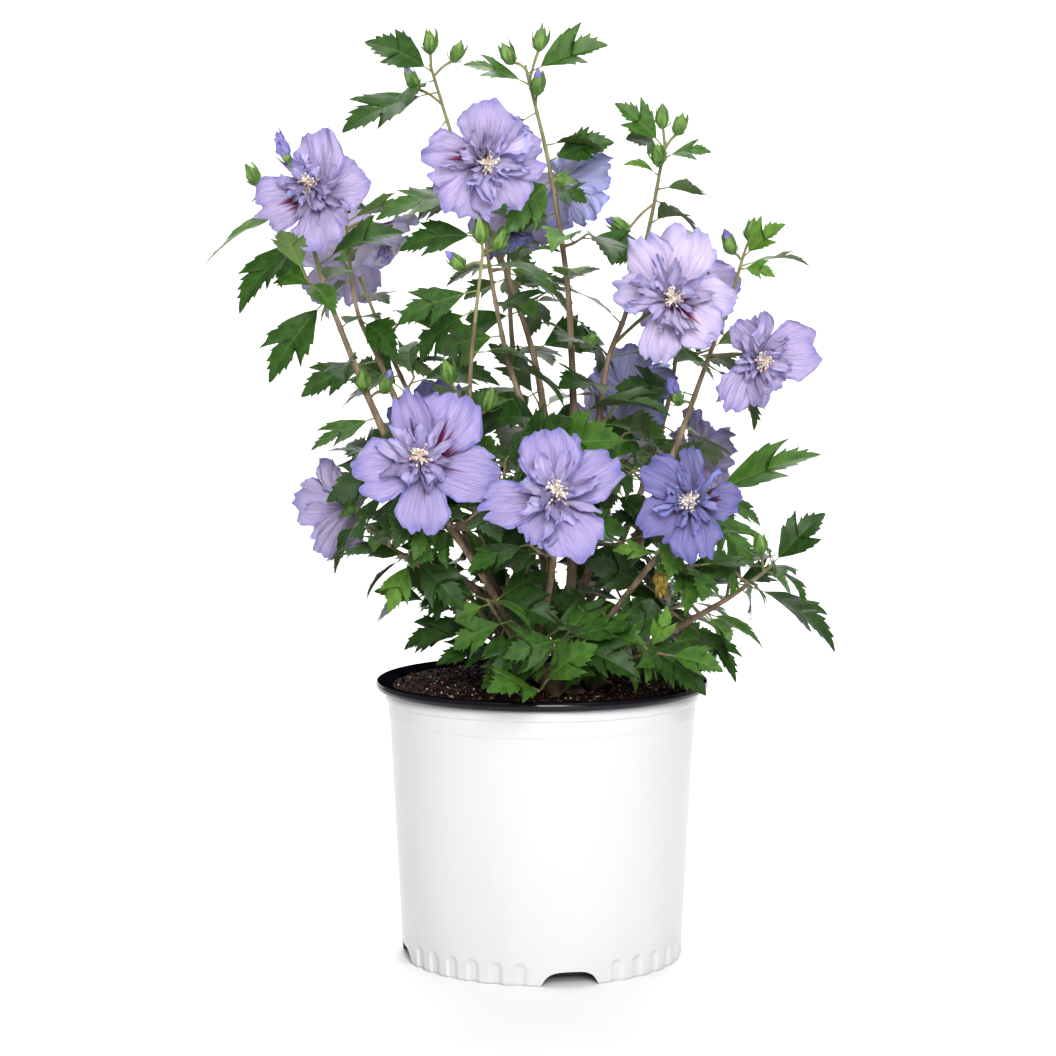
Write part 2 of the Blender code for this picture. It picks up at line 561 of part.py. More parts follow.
def make_pot():
    shoulder, neck, top = shoulder_height(), POT_HEIGHT - LIP_HEIGHT - NECK_HEIGHT, wall_top()
    ledge = 0.0012
    profile = [(FOOT_RADIUS, 0.0), (wall_radius(FLUTE_HEIGHT), FLUTE_HEIGHT), (SHOULDER_RADIUS, shoulder),
               (SHOULDER_RADIUS + ledge / 2, neck - ledge), (NECK_RADIUS, neck), (NECK_RADIUS, top),
               (NECK_RADIUS - WALL, top), (SHOULDER_RADIUS - WALL, shoulder),
               (FOOT_RADIUS - WALL, FLOOR)]

    def radius_at(row, k):
        radius = profile[row][0]
        return radius - FLUTE_DEPTH * (k % 2) if row == 0 else radius

    pot = make_object("pot", close_ends(lathe(profile, SEGMENTS, radius_at), SEGMENTS))
    combine(pot, [pocket_roof(turn, 0.0) for turn in pocket_turns()], "UNION")
    near = FOOT_RADIUS - DRAIN_DEPTH
    cutters = [pocket(turn, DRAIN_WIDTH, 0.78 * DRAIN_WIDTH, near, -WALL, DRAIN_HEIGHT)
               for turn in pocket_turns()]
    combine(pot, cutters, "DIFFERENCE")
    take_object(pot)
    finish(pot, WHITE_PLASTIC)


# Top of the potting mix, inside the lip's skirt
def soil_radius():
    return throat_radius(SKIRT_FOOT) - SKIRT_THICK - 2 * GAP


def make_lip():
    low = POT_HEIGHT - LIP_HEIGHT
    inner = NECK_RADIUS - WALL - GAP
    seat = throat_radius(SKIRT_FOOT) - 1.6 * GAP
    profile = [(seat - SKIRT_THICK, SKIRT_FOOT), (soil_radius() + GAP, SOIL_EDGE),
               (LIP_RADIUS - 0.0062, POT_HEIGHT - 0.0014), (LIP_RADIUS - 0.0038, POT_HEIGHT),
               (LIP_RADIUS - 0.0012, POT_HEIGHT - 0.0014), (LIP_RADIUS, low + 0.0035),
               (LIP_RADIUS - 0.0012, low), (inner, low), (seat, SKIRT_FOOT)]
    points, faces = lathe(profile, RING_SEGMENTS)
    last = len(points) - RING_SEGMENTS
    for k in range(RING_SEGMENTS):
        after = (k + 1) % RING_SEGMENTS
        faces.append((last + k, last + after, after, k))
    lip = make_object("pot_rim", (points, faces))
    take_object(lip)
    finish(lip, BLACK_PLASTIC)


def make_soil():
    inner = SHOULDER_RADIUS - WALL - GAP
    collar = SKIRT_FOOT - 2 * GAP
    profile = [(FOOT_RADIUS - WALL - GAP, FLOOR + GAP), (inner, shoulder_height()),
               (throat_radius(collar) - 2 * GAP, collar), (soil_radius() - 2 * GAP, collar),
               (soil_radius() - GAP, SOIL_EDGE), (0.105, SOIL_TOP)]
    soil = make_object("soil", close_ends(lathe(profile, RING_SEGMENTS), RING_SEGMENTS))
    combine(soil, [pocket_roof(turn, GAP) for turn in pocket_turns()], "DIFFERENCE")
    keep_body(soil)
    take_object(soil)
    finish(soil, POTTING_MIX)


# Saddle joint: the root of a branch is cut clear of the limb that it grows on
def cut_from_parent(made, parent, where):
    if where == 1.0:
        return
    foot, tip = LIMBS[parent][3:]
    rooted = LIMBS[parent][0] is None
    combine(made, [tube(limb_line(parent), foot + GAP, tip + GAP, LIMB_SIDES, rooted)], "DIFFERENCE")
    keep_body(made)


def make_limb(name):
    parent, where, _, foot, tip = LIMBS[name]
    rooted = parent is None
    made = make_object(name, tube(limb_line(name), foot, tip, LIMB_SIDES, rooted))
    if not rooted:
        cut_from_parent(made, parent, where)
    finish(made, OLD_BARK if rooted else GREEN_BARK)
    take(name, "stem", tube(limb_line(name), foot + MARGIN, tip + MARGIN, LIMB_SIDES, rooted))


# Leafy shoots
def shoot_line(name):
    parent, where, points, _ = SHOOTS[name]
    return branch_line(parent, where, points)


def shoot_radii(name):
    parent, where = SHOOTS[name][:2]
    foot = limb_radius(parent, where)
    return (foot if where == 1.0 else 0.0022), 0.0013


def flower_stalk(line, share, end):
    start = line.spot(share)
    knee = start.lerp(end, 0.5) + Vector((0, 0, 0.002))
    return tube(Line([start, knee, end], 1), TWIG_FOOT, TWIG_FOOT, 3)


def bloom_shapes(entry, grow=0.0):
    shoot, share, centre, facing, width, petals = entry
    centre = Vector(centre)
    shapes = bloom(centre, facing, width, petals, grow)
    back = centre - Vector(facing).normalized() * 0.17 * width
    return shapes, flower_stalk(shoot_line(shoot), share, back)


def bud_shapes(entry, grow=0.0):
    shoot, share, centre = entry
    centre, line = Vector(centre), shoot_line(shoot)
    way = (centre - line.spot(share)).normalized() + Vector((0, 0, 1))
    way.normalize()
    shape = spindle(centre - way * 0.008, centre + way * 0.010, 0.0064, 4, 0.42, grow)
    return [shape], flower_stalk(line, share, centre - way * 0.005)


# Leaves turn their upper side upward and out of the crown, and lie flatter in its upper part
def light_way(root):
    outward = (root - CROWN_AXIS) * Vector((1, 1, 0))
    high = min(max((root.z - 0.36) / 0.14, 0.0), 1.0)
    return Vector((0, 0, 0.75 + 0.1 * high)) + (0.9 - 0.2 * high) * outward.normalized()


def hangs_over(tip):
    return math.hypot(tip.x, tip.y) > OVER_RIM[0] and tip.z < OVER_RIM[1]


# A leaf looks for a free place by turning about its shoot
def place_leaf(owner, root, outward, axis, length, dice, pieces, skip):
    for attempt in range(TRIES):
        turn = dice.uniform(-0.4, 0.4) * (1 + attempt)
        droop = math.tan(math.radians(dice.uniform(*DROOP)))
        way = outward * math.cos(turn) + axis.cross(outward) * math.sin(turn)
        way = Vector((way.x, way.y, way.z * 0.5)).normalized()
        way = (way - Vector((0, 0, droop))).normalized()
        up = light_way(root) + Vector([dice.uniform(-0.4, 0.4) for _ in range(3)])
        size = length * dice.uniform(0.85, 1.1) * (1 - 0.04 * attempt)
        if hangs_over(root + way * size):
            continue
        if not is_free(leaf(root, way, up, size, MARGIN), skip | {(owner, "leaf")}):
            continue
        if not is_free(leaf(root + way * 0.2 * size, way, up, 0.8 * size), skip):
            continue
        shape = leaf(root, way, up, size)
        take(owner, "leaf", shape)
        pieces.append(shape)
        return


def outer_leaf(name, share, tip, line, pieces):
    root, tip = line.spot(share), Vector(tip)
    reach = tip - root
    up = Vector((0.2 * reach.normalized().x, -0.8, 0.6))
    shape = leaf(root, reach.normalized(), up, reach.length)
    near = leaf(root + 0.1 * reach, reach.normalized(), up, 0.9 * reach.length, MARGIN)
    if is_free(near, {(name, "stem")}):
        take(name, "leaf", shape)
        pieces.append(shape)


def leaf_roots(line, habit, dice):
    step, long_leaf, short_leaf = habit[:3]
    count = max(3, int(line.length / step))
    turn = dice.uniform(0, math.tau)
    for node in range(count):
        share = (node + 0.6) / count
        turn += GOLDEN
        way = line.way(share)
        side = way.orthogonal().normalized()
        outward = side * math.cos(turn) + way.cross(side) * math.sin(turn)
        length = long_leaf + (short_leaf - long_leaf) * share
        yield node, share, way, outward, length
    for extra in range(3):
        turn += GOLDEN
        way = line.way(1.0)
        side = way.orthogonal().normalized()
        yield count, 0.99, way, side * math.cos(turn) + way.cross(side) * math.sin(turn), short_leaf


def grow_twig(owner, start, outward, length, leaf_length, dice, pieces):
    rise = Vector((0, 0, dice.uniform(0.15, 0.75)))
    way = (Vector((outward.x, outward.y, outward.z * 0.4)).normalized() + rise).normalized()
    end = start + way * length
    knee = start.lerp(end, 0.5) - Vector((0, 0, 0.06 * length))
    line = Line([start, knee, end], 1)
    shape = tube(line, TWIG_FOOT, TWIG_TIP, 3)
    outer = tube(Line([start.lerp(end, 0.15), knee, end], 1), TWIG_FOOT + MARGIN, TWIG_TIP + MARGIN, 3)
    if not is_free(outer, {(owner, "stem")}):
        return
    key = (owner, "twig%d" % len(pieces))
    pieces.append(shape)
    take(*key, shape)
    turn = dice.uniform(0, math.tau)
    for share in (0.45, 0.75, 0.96):
        turn += math.pi * 0.9
        along = line.way(share)
        side = along.cross(Vector((0, 0, 1))).normalized()
        spread = side * math.copysign(1, math.cos(turn)) + along * (0.5 if share < 0.9 else 2.5)
        place_leaf(owner, line.spot(share), spread.normalized(), along, leaf_length, dice, pieces,
                   {(owner, "stem"), key})


def grow_shoot(name):
    line, habit = shoot_line(name), HABITS[SHOOTS[name][3]]
    dice = random.Random("rose of sharon " + name)
    pieces = shoot_flowers[name]
    for owner, share, tip in OUTER_LEAVES:
        if owner == name:
            outer_leaf(name, share, tip, line, pieces)
    every, twig = habit[3:]
    for node, share, way, outward, length in leaf_roots(line, habit, dice):
        if node % every == 0 and share < 0.8:
            reach = twig * (1.15 - 0.5 * share)
            grow_twig(name, line.spot(share), outward, reach, 0.86 * length, dice, pieces)
        place_leaf(name, line.spot(share), outward, way, length, dice, pieces, {(name, "stem")})
    return pieces


def reserve_stems():
    for name in SHOOTS:
        line, radii = shoot_line(name), shoot_radii(name)
        take(name, "stem", tube(line, radii[0] + MARGIN, radii[1] + MARGIN, SHOOT_SIDES))


def reserve_flowers():
    for kind, shapes_of, entries in (("bloom", bloom_shapes, BLOOMS), ("bud", bud_shapes, BUDS)):
        for place, entry in enumerate(entries):
            owner = entry[0]
            wide, stalk = shapes_of(entry, MARGIN)
            key = (owner, kind + str(place))
            if not all(is_free(shape, {(owner, "stem"), key}) for shape in wide + [stalk]):
                continue
            shapes, stalk = shapes_of(entry)
            for shape in shapes + [stalk]:
                take(*key, shape)
                shoot_flowers[owner].append(shape)


def make_shoot(name):
    line, (foot, tip) = shoot_line(name), shoot_radii(name)
    parent, where = SHOOTS[name][:2]
    pieces = grow_shoot(name)
    made = make_object(name + "_leaves", tube(line, foot, tip, SHOOT_SIDES))
    cut_from_parent(made, parent, where)
    combine(made, pieces, "UNION")
    keep_body(made)
    finish(made, FOLIAGE)


def main():
    clear_scene()
    make_pot()
    make_lip()
    make_soil()
    for name in LIMBS:
        make_limb(name)
    reserve_stems()
    reserve_flowers()
    for name in SHOOTS:
        make_shoot(name)


main()
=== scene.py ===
# Potted rose of sharon: a flowering shrub of several stems in a white nursery pot
import math
import random

import bpy
import numpy as np
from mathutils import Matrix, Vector
from mathutils.bvhtree import BVHTree


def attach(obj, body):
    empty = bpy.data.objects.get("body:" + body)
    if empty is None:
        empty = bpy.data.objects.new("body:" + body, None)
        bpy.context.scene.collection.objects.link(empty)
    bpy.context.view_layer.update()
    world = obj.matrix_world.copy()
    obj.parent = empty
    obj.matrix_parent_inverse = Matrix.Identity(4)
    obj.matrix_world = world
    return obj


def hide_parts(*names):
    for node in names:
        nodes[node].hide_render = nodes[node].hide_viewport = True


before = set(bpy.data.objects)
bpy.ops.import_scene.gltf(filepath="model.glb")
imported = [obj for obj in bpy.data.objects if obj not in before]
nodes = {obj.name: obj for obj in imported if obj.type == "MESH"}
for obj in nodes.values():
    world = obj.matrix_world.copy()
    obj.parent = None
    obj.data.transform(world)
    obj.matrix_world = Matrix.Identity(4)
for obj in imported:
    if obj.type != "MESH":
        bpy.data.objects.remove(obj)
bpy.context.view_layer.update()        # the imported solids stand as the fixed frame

scene = bpy.context.scene
print("frame loaded")

# Camera, light and floor
portrait = {
    "cameraAt": (-0.0118, -2.15, 0.545),
    "lookDown": 4.90,            # degrees
    "lens": 87.68,
    "skyStrength": 0.30,
    "skySeen": 1.0,              # how bright the sky itself looks behind the floor
    "lamps": [                   # place, aim, size, power, warmth
        ((0.15, -2.4, 1.45), (0, 0, 0.30), 1.1, 67, (1.0, 0.985, 0.965)),
        ((0.9, -2.6, 0.9), (0, 0, 0.25), 0.8, 8, (1.0, 1.0, 1.0)),
        ((0.0, -0.4, 3.6), (0, -0.4, 0.0), 4.2, 46, (1.0, 1.0, 1.0)),
        ((0.2, 1.3, 2.2), (0, 0, 0.45), 0.8, 12, (1.0, 1.0, 1.0)),
        ((0.0, 1.6, 2.9), (0, 3.4, 0.9), 2.2, 110, (1.0, 1.0, 1.0)),     # on the backdrop
    ],
}


def setPortrait():
    lens = bpy.data.cameras.new("portraitCamera")
    camera = bpy.data.objects.new("portraitCamera", lens)
    scene.collection.objects.link(camera)
    lens.lens, lens.sensor_width, lens.clip_start = portrait["lens"], 36, 0.01
    camera.location = portrait["cameraAt"]
    camera.rotation_euler = (math.radians(90 - portrait["lookDown"]), 0, 0)
    scene.camera = camera
    world = bpy.data.worlds.new("studioSky")
    world.use_nodes = True
    tree = world.node_tree
    sky = tree.nodes["Background"]
    sky.inputs["Color"].default_value = (1, 1, 1, 1)
    seen = addNode(tree, "ShaderNodeLightPath").outputs["Is Camera Ray"]
    strength = tint(tree, seen, (portrait["skyStrength"],) * 3, (portrait["skySeen"],) * 3)
    tree.links.new(strength, sky.inputs["Strength"])
    scene.world = world
    scene.view_settings.view_transform = "Standard"
    for number, (place, aim, size, power, warmth) in enumerate(portrait["lamps"]):
        light = bpy.data.lights.new("softbox%d" % number, "AREA")
        light.size, light.energy, light.color = size, power, warmth
        lamp = bpy.data.objects.new(light.name, light)
        lamp.location = place
        lamp.rotation_euler = (Vector(aim) - Vector(place)).to_track_quat("-Z", "Y").to_euler()
        scene.collection.objects.link(lamp)


# Shader helpers
def feed(tree, socket, value):
    if isinstance(value, bpy.types.NodeSocket):
        tree.links.new(value, socket)
    elif value is not None:
        socket.default_value = (*value, 1) if socket.type == "RGBA" and len(value) == 3 else value


def addNode(tree, kind, inputs=(), **settings):
    node = tree.nodes.new(kind)
    for key, value in settings.items():
        setattr(node, key, value)
    for key, value in dict(inputs).items():
        feed(tree, node.inputs[key], value)
    return node


def work(tree, operation, first, second=None, third=None):
    return addNode(tree, "ShaderNodeMath", {0: first, 1: second, 2: third}, operation=operation).outputs[0]


def tint(tree, share, first, second, mode="MIX"):
    return addNode(tree, "ShaderNodeMix", {0: share, 6: first, 7: second},
                   data_type="RGBA", blend_type=mode).outputs[2]


# Eases a value from 0 at low to 1 at high
def ease(tree, value, low, high):
    return addNode(tree, "ShaderNodeMapRange", {"Value": value, "From Min": low, "From Max": high},
                   interpolation_type="SMOOTHSTEP").outputs[0]


def noise(tree, place, scale, detail=3.0, roughness=0.5):
    return addNode(tree, "ShaderNodeTexNoise", {"Vector": place, "Scale": scale, "Detail": detail,
                                                "Roughness": roughness}).outputs["Fac"]


def squeeze(tree, place, scale):
    return addNode(tree, "ShaderNodeMapping", {"Vector": place, "Scale": scale}).outputs[0]


def newGroup(name, inputs, outputs):
    tree = bpy.data.node_groups.new(name, "ShaderNodeTree")
    for label, kind, value in inputs:
        socket = tree.interface.new_socket(label, in_out="INPUT", socket_type=kind)
        socket.default_value = value
    for label, kind in outputs:
        tree.interface.new_socket(label, in_out="OUTPUT", socket_type=kind)
    return tree, tree.nodes.new("NodeGroupInput").outputs, tree.nodes.new("NodeGroupOutput").inputs


def placeGroup(tree, group, **inputs):
    node = tree.nodes.new("ShaderNodeGroup")
    node.node_tree = group
    for label, value in inputs.items():
        feed(tree, node.inputs[label], value)
    return node.outputs


number, colour = "NodeSocketFloat", "NodeSocketColor"


# Uneven surface: a soft mask for colour and a height for relief, over the whole object
def makeMottle():
    tree, given, out = newGroup("mottle", [("Scale", number, 40.0), ("Stretch", number, 1.0),
                                           ("Low", number, 0.4), ("High", number, 0.6)],
                                [("Mask", number), ("Height", number)])
    place = addNode(tree, "ShaderNodeTexCoord").outputs["Object"]
    flat = addNode(tree, "ShaderNodeCombineXYZ", {0: 1.0, 1: 1.0, 2: given["Stretch"]}).outputs[0]
    place = addNode(tree, "ShaderNodeVectorMath", {0: place, 1: flat}, operation="MULTIPLY").outputs[0]
    cloud = noise(tree, place, given["Scale"], 5.0, 0.6)
    feed(tree, out["Mask"], ease(tree, cloud, given["Low"], given["High"]))
    feed(tree, out["Height"], cloud)
    return tree


# Veins of a leaf from its own map: the midrib, two lobe veins, side veins and a fine net
def makeLeafVeins():
    tree, given, out = newGroup("leafVeins", [("Width", number, 1.0)],
                                [("Veins", number), ("Blotch", number), ("Height", number)])
    place = addNode(tree, "ShaderNodeUVMap", uv_map="leafMap").outputs[0]
    split = addNode(tree, "ShaderNodeSeparateXYZ", {0: place}).outputs
    across = work(tree, "MULTIPLY", work(tree, "ABSOLUTE", work(tree, "SUBTRACT", split[0], 0.5)), 0.8)
    along = split[1]
    wide = work(tree, "MULTIPLY", work(tree, "SUBTRACT", 1.25, along), given["Width"])

    def line(distance, thick, strength):
        drop = work(tree, "DIVIDE", distance, work(tree, "MULTIPLY", wide, thick))
        return work(tree, "MULTIPLY", work(tree, "SUBTRACT", 1.0, ease(tree, drop, 0.35, 1.0)), strength)

    midrib = line(across, 0.012, 1.0)
    lobe = work(tree, "ABSOLUTE", work(tree, "SUBTRACT", across, work(tree, "MULTIPLY", along, 0.74)))
    lobe = work(tree, "MULTIPLY", line(lobe, 0.009, 0.85),
                work(tree, "SUBTRACT", 1.0, ease(tree, along, 0.40, 0.50)))
    rung = work(tree, "MULTIPLY", work(tree, "SUBTRACT", along, work(tree, "MULTIPLY", across, 0.8)), 8.0)
    rung = work(tree, "ABSOLUTE", work(tree, "SUBTRACT", work(tree, "FRACT", rung), 0.5))
    rung = work(tree, "MULTIPLY", line(rung, 0.055, 0.6), ease(tree, along, 0.16, 0.30))
    net = addNode(tree, "ShaderNodeTexVoronoi", {"Vector": place, "Scale": 26.0},
                  feature="DISTANCE_TO_EDGE").outputs["Distance"]
    fine = work(tree, "SUBTRACT", 1.0, ease(tree, net, 0.0, 0.10))
    veins = work(tree, "MAXIMUM", work(tree, "MAXIMUM", midrib, lobe), rung)
    feed(tree, out["Veins"], work(tree, "MAXIMUM", veins, work(tree, "MULTIPLY", fine, 0.22)))
    feed(tree, out["Blotch"], noise(tree, place, 7.0, 4.0))
    feed(tree, out["Height"], work(tree, "SUBTRACT", 1.0, work(tree, "ADD", veins,
                                                               work(tree, "MULTIPLY", fine, 0.25))))
    return tree


# Colour fields of a petal from its own map: the eye at its base, fine veins and a bluer edge
def makePetalGrain():
    tree, given, out = newGroup("petalGrain", [("Eye", number, 0.24), ("Veins", number, 46.0)],
                                [("Eye", number), ("Vein", number), ("Edge", number), ("Rim", number),
                                 ("Height", number)])
    place = addNode(tree, "ShaderNodeUVMap", uv_map="petalMap").outputs[0]
    split = addNode(tree, "ShaderNodeSeparateXYZ", {0: place}).outputs
    side = work(tree, "MULTIPLY", work(tree, "ABSOLUTE", work(tree, "SUBTRACT", split[0], 0.5)), 2.0)
    streak = noise(tree, squeeze(tree, place, (18.0, 0.3, 1.0)), 1.0, 2.0)
    reach = work(tree, "ADD", given["Eye"], work(tree, "MULTIPLY",
                                                 work(tree, "SUBTRACT", streak, 0.5), 0.75))
    reach = work(tree, "SUBTRACT", reach, work(tree, "MULTIPLY", side, 0.16))
    eye = work(tree, "SUBTRACT", 1.0, ease(tree, work(tree, "SUBTRACT", split[1], reach), -0.16, 0.03))
    lines = addNode(tree, "ShaderNodeMapping", {"Vector": place}).outputs[0]
    spread = addNode(tree, "ShaderNodeCombineXYZ", {0: given["Veins"], 1: 2.4, 2: 1.0}).outputs[0]
    lines = addNode(tree, "ShaderNodeVectorMath", {0: lines, 1: spread}, operation="MULTIPLY").outputs[0]
    broad = noise(tree, lines, 1.0, 4.0, 0.65)
    fine = noise(tree, squeeze(tree, place, (130.0, 3.5, 1.0)), 1.0, 2.0)
    vein = work(tree, "ADD", work(tree, "MULTIPLY", broad, 0.55), work(tree, "MULTIPLY", fine, 0.45))
    far = work(tree, "MAXIMUM", ease(tree, split[1], 0.70, 1.02), ease(tree, side, 0.72, 1.05))
    cloud = noise(tree, place, 5.0, 3.0)
    rim = work(tree, "MAXIMUM", ease(tree, split[1], 0.86, 1.01), ease(tree, side, 0.80, 1.02))
    feed(tree, out["Rim"], work(tree, "MULTIPLY", rim, ease(tree, noise(tree, place, 9.0, 3.0), 0.30, 0.70)))
    feed(tree, out["Eye"], eye)
    feed(tree, out["Vein"], ease(tree, vein, 0.43, 0.64))
    feed(tree, out["Edge"], work(tree, "MULTIPLY", far, ease(tree, cloud, 0.25, 0.65)))
    feed(tree, out["Height"], vein)
    return tree


groups = {"mottle": makeMottle(), "leafVeins": makeLeafVeins(), "petalGrain": makePetalGrain()}


def startMaterial(name, roughness, specular=0.5):
    material = bpy.data.materials.new(name)
    material.use_nodes = True
    shader = material.node_tree.nodes["Principled BSDF"]
    shader.inputs["Roughness"].default_value = roughness
    shader.inputs["Specular IOR Level"].default_value = specular
    return material, material.node_tree, shader


def addRelief(tree, shader, height, strength, distance):
    relief = addNode(tree, "ShaderNodeBump", {"Height": height, "Strength": strength, "Distance": distance})
    tree.links.new(relief.outputs[0], shader.inputs["Normal"])


# Two colours mixed by the uneven mask, with relief from the same field
def mottledMaterial(name, dark, light, roughness, scale, stretch=1.0, relief=0.3, depth=0.0008,
                    low=0.35, high=0.65, gloss=0.0, specular=0.5):
    material, tree, shader = startMaterial(name, roughness, specular)
    field = placeGroup(tree, groups["mottle"], Scale=scale, Stretch=stretch, Low=low, High=high)
    feed(tree, shader.inputs["Base Color"], tint(tree, field["Mask"], dark, light))
    if gloss:
        feed(tree, shader.inputs["Roughness"], work(tree, "MULTIPLY_ADD", field["Height"], gloss,
                                                    roughness - 0.5 * gloss))
    addRelief(tree, shader, field["Height"], relief, depth)
    return material


def leafMaterial(name, dark, light, veinColour, under, roughness=0.42):
    material, tree, shader = startMaterial(name, roughness, 0.26)
    field = placeGroup(tree, groups["leafVeins"])
    top = tint(tree, ease(tree, field["Blotch"], 0.30, 0.72), dark, light)
    top = tint(tree, work(tree, "MULTIPLY", field["Veins"], 0.50), top, veinColour)
    low = tint(tree, work(tree, "MULTIPLY", field["Veins"], 0.50), under, veinColour)
    back = addNode(tree, "ShaderNodeNewGeometry").outputs["Backfacing"]
    feed(tree, shader.inputs["Base Color"], tint(tree, back, top, low))
    addRelief(tree, shader, field["Height"], 0.35, 0.0006)
    return material


def petalMaterial(name, pale, deep, edge, eyeColour, eye=0.24, veins=46.0, roughness=0.6):
    material, tree, shader = startMaterial(name, roughness, 0.25)
    shader.inputs["Sheen Weight"].default_value = 0.15
    field = placeGroup(tree, groups["petalGrain"], Eye=eye, Veins=veins)
    body = tint(tree, work(tree, "MULTIPLY", field["Vein"], 0.75), pale, deep)
    body = tint(tree, work(tree, "MULTIPLY", field["Edge"], 0.45), body, edge)
    body = tint(tree, work(tree, "MULTIPLY", field["Rim"], 0.80), body, edge)
    back = addNode(tree, "ShaderNodeNewGeometry").outputs["Backfacing"]
    shown = work(tree, "MULTIPLY", field["Eye"], work(tree, "SUBTRACT", 1.0, work(tree, "MULTIPLY", back, 0.75)))
    feed(tree, shader.inputs["Base Color"], tint(tree, shown, body, eyeColour))
    addRelief(tree, shader, field["Height"], 1.0, 0.0022)
    return material


# Gathers the points, faces and map places of many small shapes into one mesh
class Heap:
    def __init__(self, name, materials, mapName=None):
        self.name, self.materials, self.mapName = name, materials, mapName
        self.points, self.corners, self.maps, self.slots, self.count = [], [], [], [], 0

    def sheet(self, points, spread=None, slot=0, ring=False):
        rows, columns = points.shape[:2]
        index = np.arange(rows * columns).reshape(rows, columns) + self.count
        if ring:
            index = np.concatenate([index, index[:, :1]], axis=1)
        if spread is None:
            wide = index.shape[1]
            spread = np.stack(np.meshgrid(np.linspace(0, 1, wide), np.linspace(0, 1, rows)), axis=2)

        def quads(grid):
            return np.stack([grid[:-1, :-1], grid[:-1, 1:], grid[1:, 1:], grid[1:, :-1]], axis=2)

        faces = quads(index).reshape(-1, 4)
        self.corners.append(faces)
        self.maps.append(quads(spread).reshape(-1, 2))
        self.slots.append(np.full(len(faces), slot))
        self.points.append(points.reshape(-1, 3))
        self.count += rows * columns

    def build(self, slotName=None, replaced=(), smooth=True):
        mesh = bpy.data.meshes.new(self.name)
        points, corners = np.concatenate(self.points), np.concatenate(self.corners)
        mesh.vertices.add(len(points))
        mesh.vertices.foreach_set("co", points.astype(np.float32).ravel())
        mesh.loops.add(corners.size)
        mesh.loops.foreach_set("vertex_index", corners.astype(np.int32).ravel())
        mesh.polygons.add(len(corners))
        mesh.polygons.foreach_set("loop_start", np.arange(0, corners.size, 4, dtype=np.int32))
        slots = np.concatenate(self.slots).astype(np.int32)
        mesh.polygons.foreach_set("material_index", slots)
        mesh.polygons.foreach_set("use_smooth", np.full(len(corners), smooth))
        mesh.update(calc_edges=True)
        for material in self.materials:
            mesh.materials.append(material)
        if self.mapName:
            places = np.concatenate(self.maps)
            cell = np.repeat(slots, 4)
            tiles = (np.stack([cell % 3, cell // 3], axis=1) + 0.04 + 0.92 * np.clip(places, 0, 1)) / 3
            for name, values in ((self.mapName, places), ("OFBake", tiles)):
                mesh.uv_layers.new(name=name).data.foreach_set("uv", values.astype(np.float32).ravel())
        piece = bpy.data.objects.new(self.name, mesh)
        scene.collection.objects.link(piece)
        return place(piece, slotName, replaced) if slotName else piece


# A finished piece joins the scene, rides on the plant and stands for its solids
def place(piece, slotName, replaced=()):
    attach(piece, "root")
    if replaced:
        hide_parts(*replaced)
    print(piece.name, len(piece.data.polygons), "faces")
    return piece


def unit(vector):
    return vector / max(np.linalg.norm(vector), 1e-9)


def flat(vector):
    return np.array(tuple(vector), float)


# Sum of a few slow waves, for uneven edges and surfaces
def waver(dice, first, second, low, high, waves=3):
    total = 0
    for step in range(waves):
        total = total + np.sin(first * dice.uniform(low, high) * (1 + step)
                               + second * dice.uniform(low, high) * (1 + step)
                               + dice.uniform(0, math.tau)) / (1 + step)
    return total


# Round rod through even places, with its radius at each, and a closed tip
def rod(heap, places, radii, sides, slot=0, relief=0.0, dice=None):
    places, radii = np.array(places, float), np.array(radii, float)
    ways = np.gradient(places, axis=0)
    ways /= np.linalg.norm(ways, axis=1)[:, None]
    end = ways[-1] * radii[-1]
    places = np.vstack([places, places[-1] + 0.5 * end, places[-1] + 0.62 * end])
    ways = np.vstack([ways, ways[-1], ways[-1]])
    radii = np.concatenate([radii, [0.75 * radii[-1], 0.05 * radii[-1]]])
    side = unit(flat(Vector(ways[0]).orthogonal()))
    turn = np.linspace(0, math.tau, sides, endpoint=False)
    marks = np.concatenate([[0], np.cumsum(np.linalg.norm(np.diff(places, axis=0), axis=1))])
    rough = np.ones((len(places), sides))
    if relief:
        rows = marks[:, None]
        rough += relief * (np.sin(turn * 3 + rows * dice.uniform(60, 140) + dice.uniform(0, 6))
                           * np.sin(rows * dice.uniform(150, 320)) + 0.6 * np.sin(turn * 5 - rows * 90)
                           + 0.5 * np.sin(rows * dice.uniform(400, 700) + turn * 2))
    grid = np.zeros((len(places), sides, 3))
    for row, (spot, way, radius) in enumerate(zip(places, ways, radii)):
        side = unit(side - way * np.dot(side, way))
        across = np.cross(way, side)
        grid[row] = spot + (radius * rough[row])[:, None] * (np.cos(turn)[:, None] * side
                                                             + np.sin(turn)[:, None] * across)
    heap.sheet(grid, ring=True, slot=slot)


# Lathe with its profile as radius and height, turned round the pot's axis
def lathe(heap, profile, segments, slot=0, radiusAt=None, close=False):
    turn = np.linspace(0, math.tau, segments, endpoint=False)
    rows = np.array(profile + ([profile[0]] if close else []), float)
    radii = rows[:, :1] * np.ones((1, segments))
    if radiusAt:
        radii = radiusAt(radii, rows[:, 1:2], turn[None, :])
    grid = np.stack([radii * np.cos(turn), radii * np.sin(turn), rows[:, 1:2] + 0 * radii], axis=2)
    heap.sheet(grid, ring=True, slot=slot)


# Growth of the shrub: the same limbs, shoots and rule as its solids, in metres
soilTop, gap, margin = 0.2312, 0.0003, 0.0010
golden = math.radians(137.5)

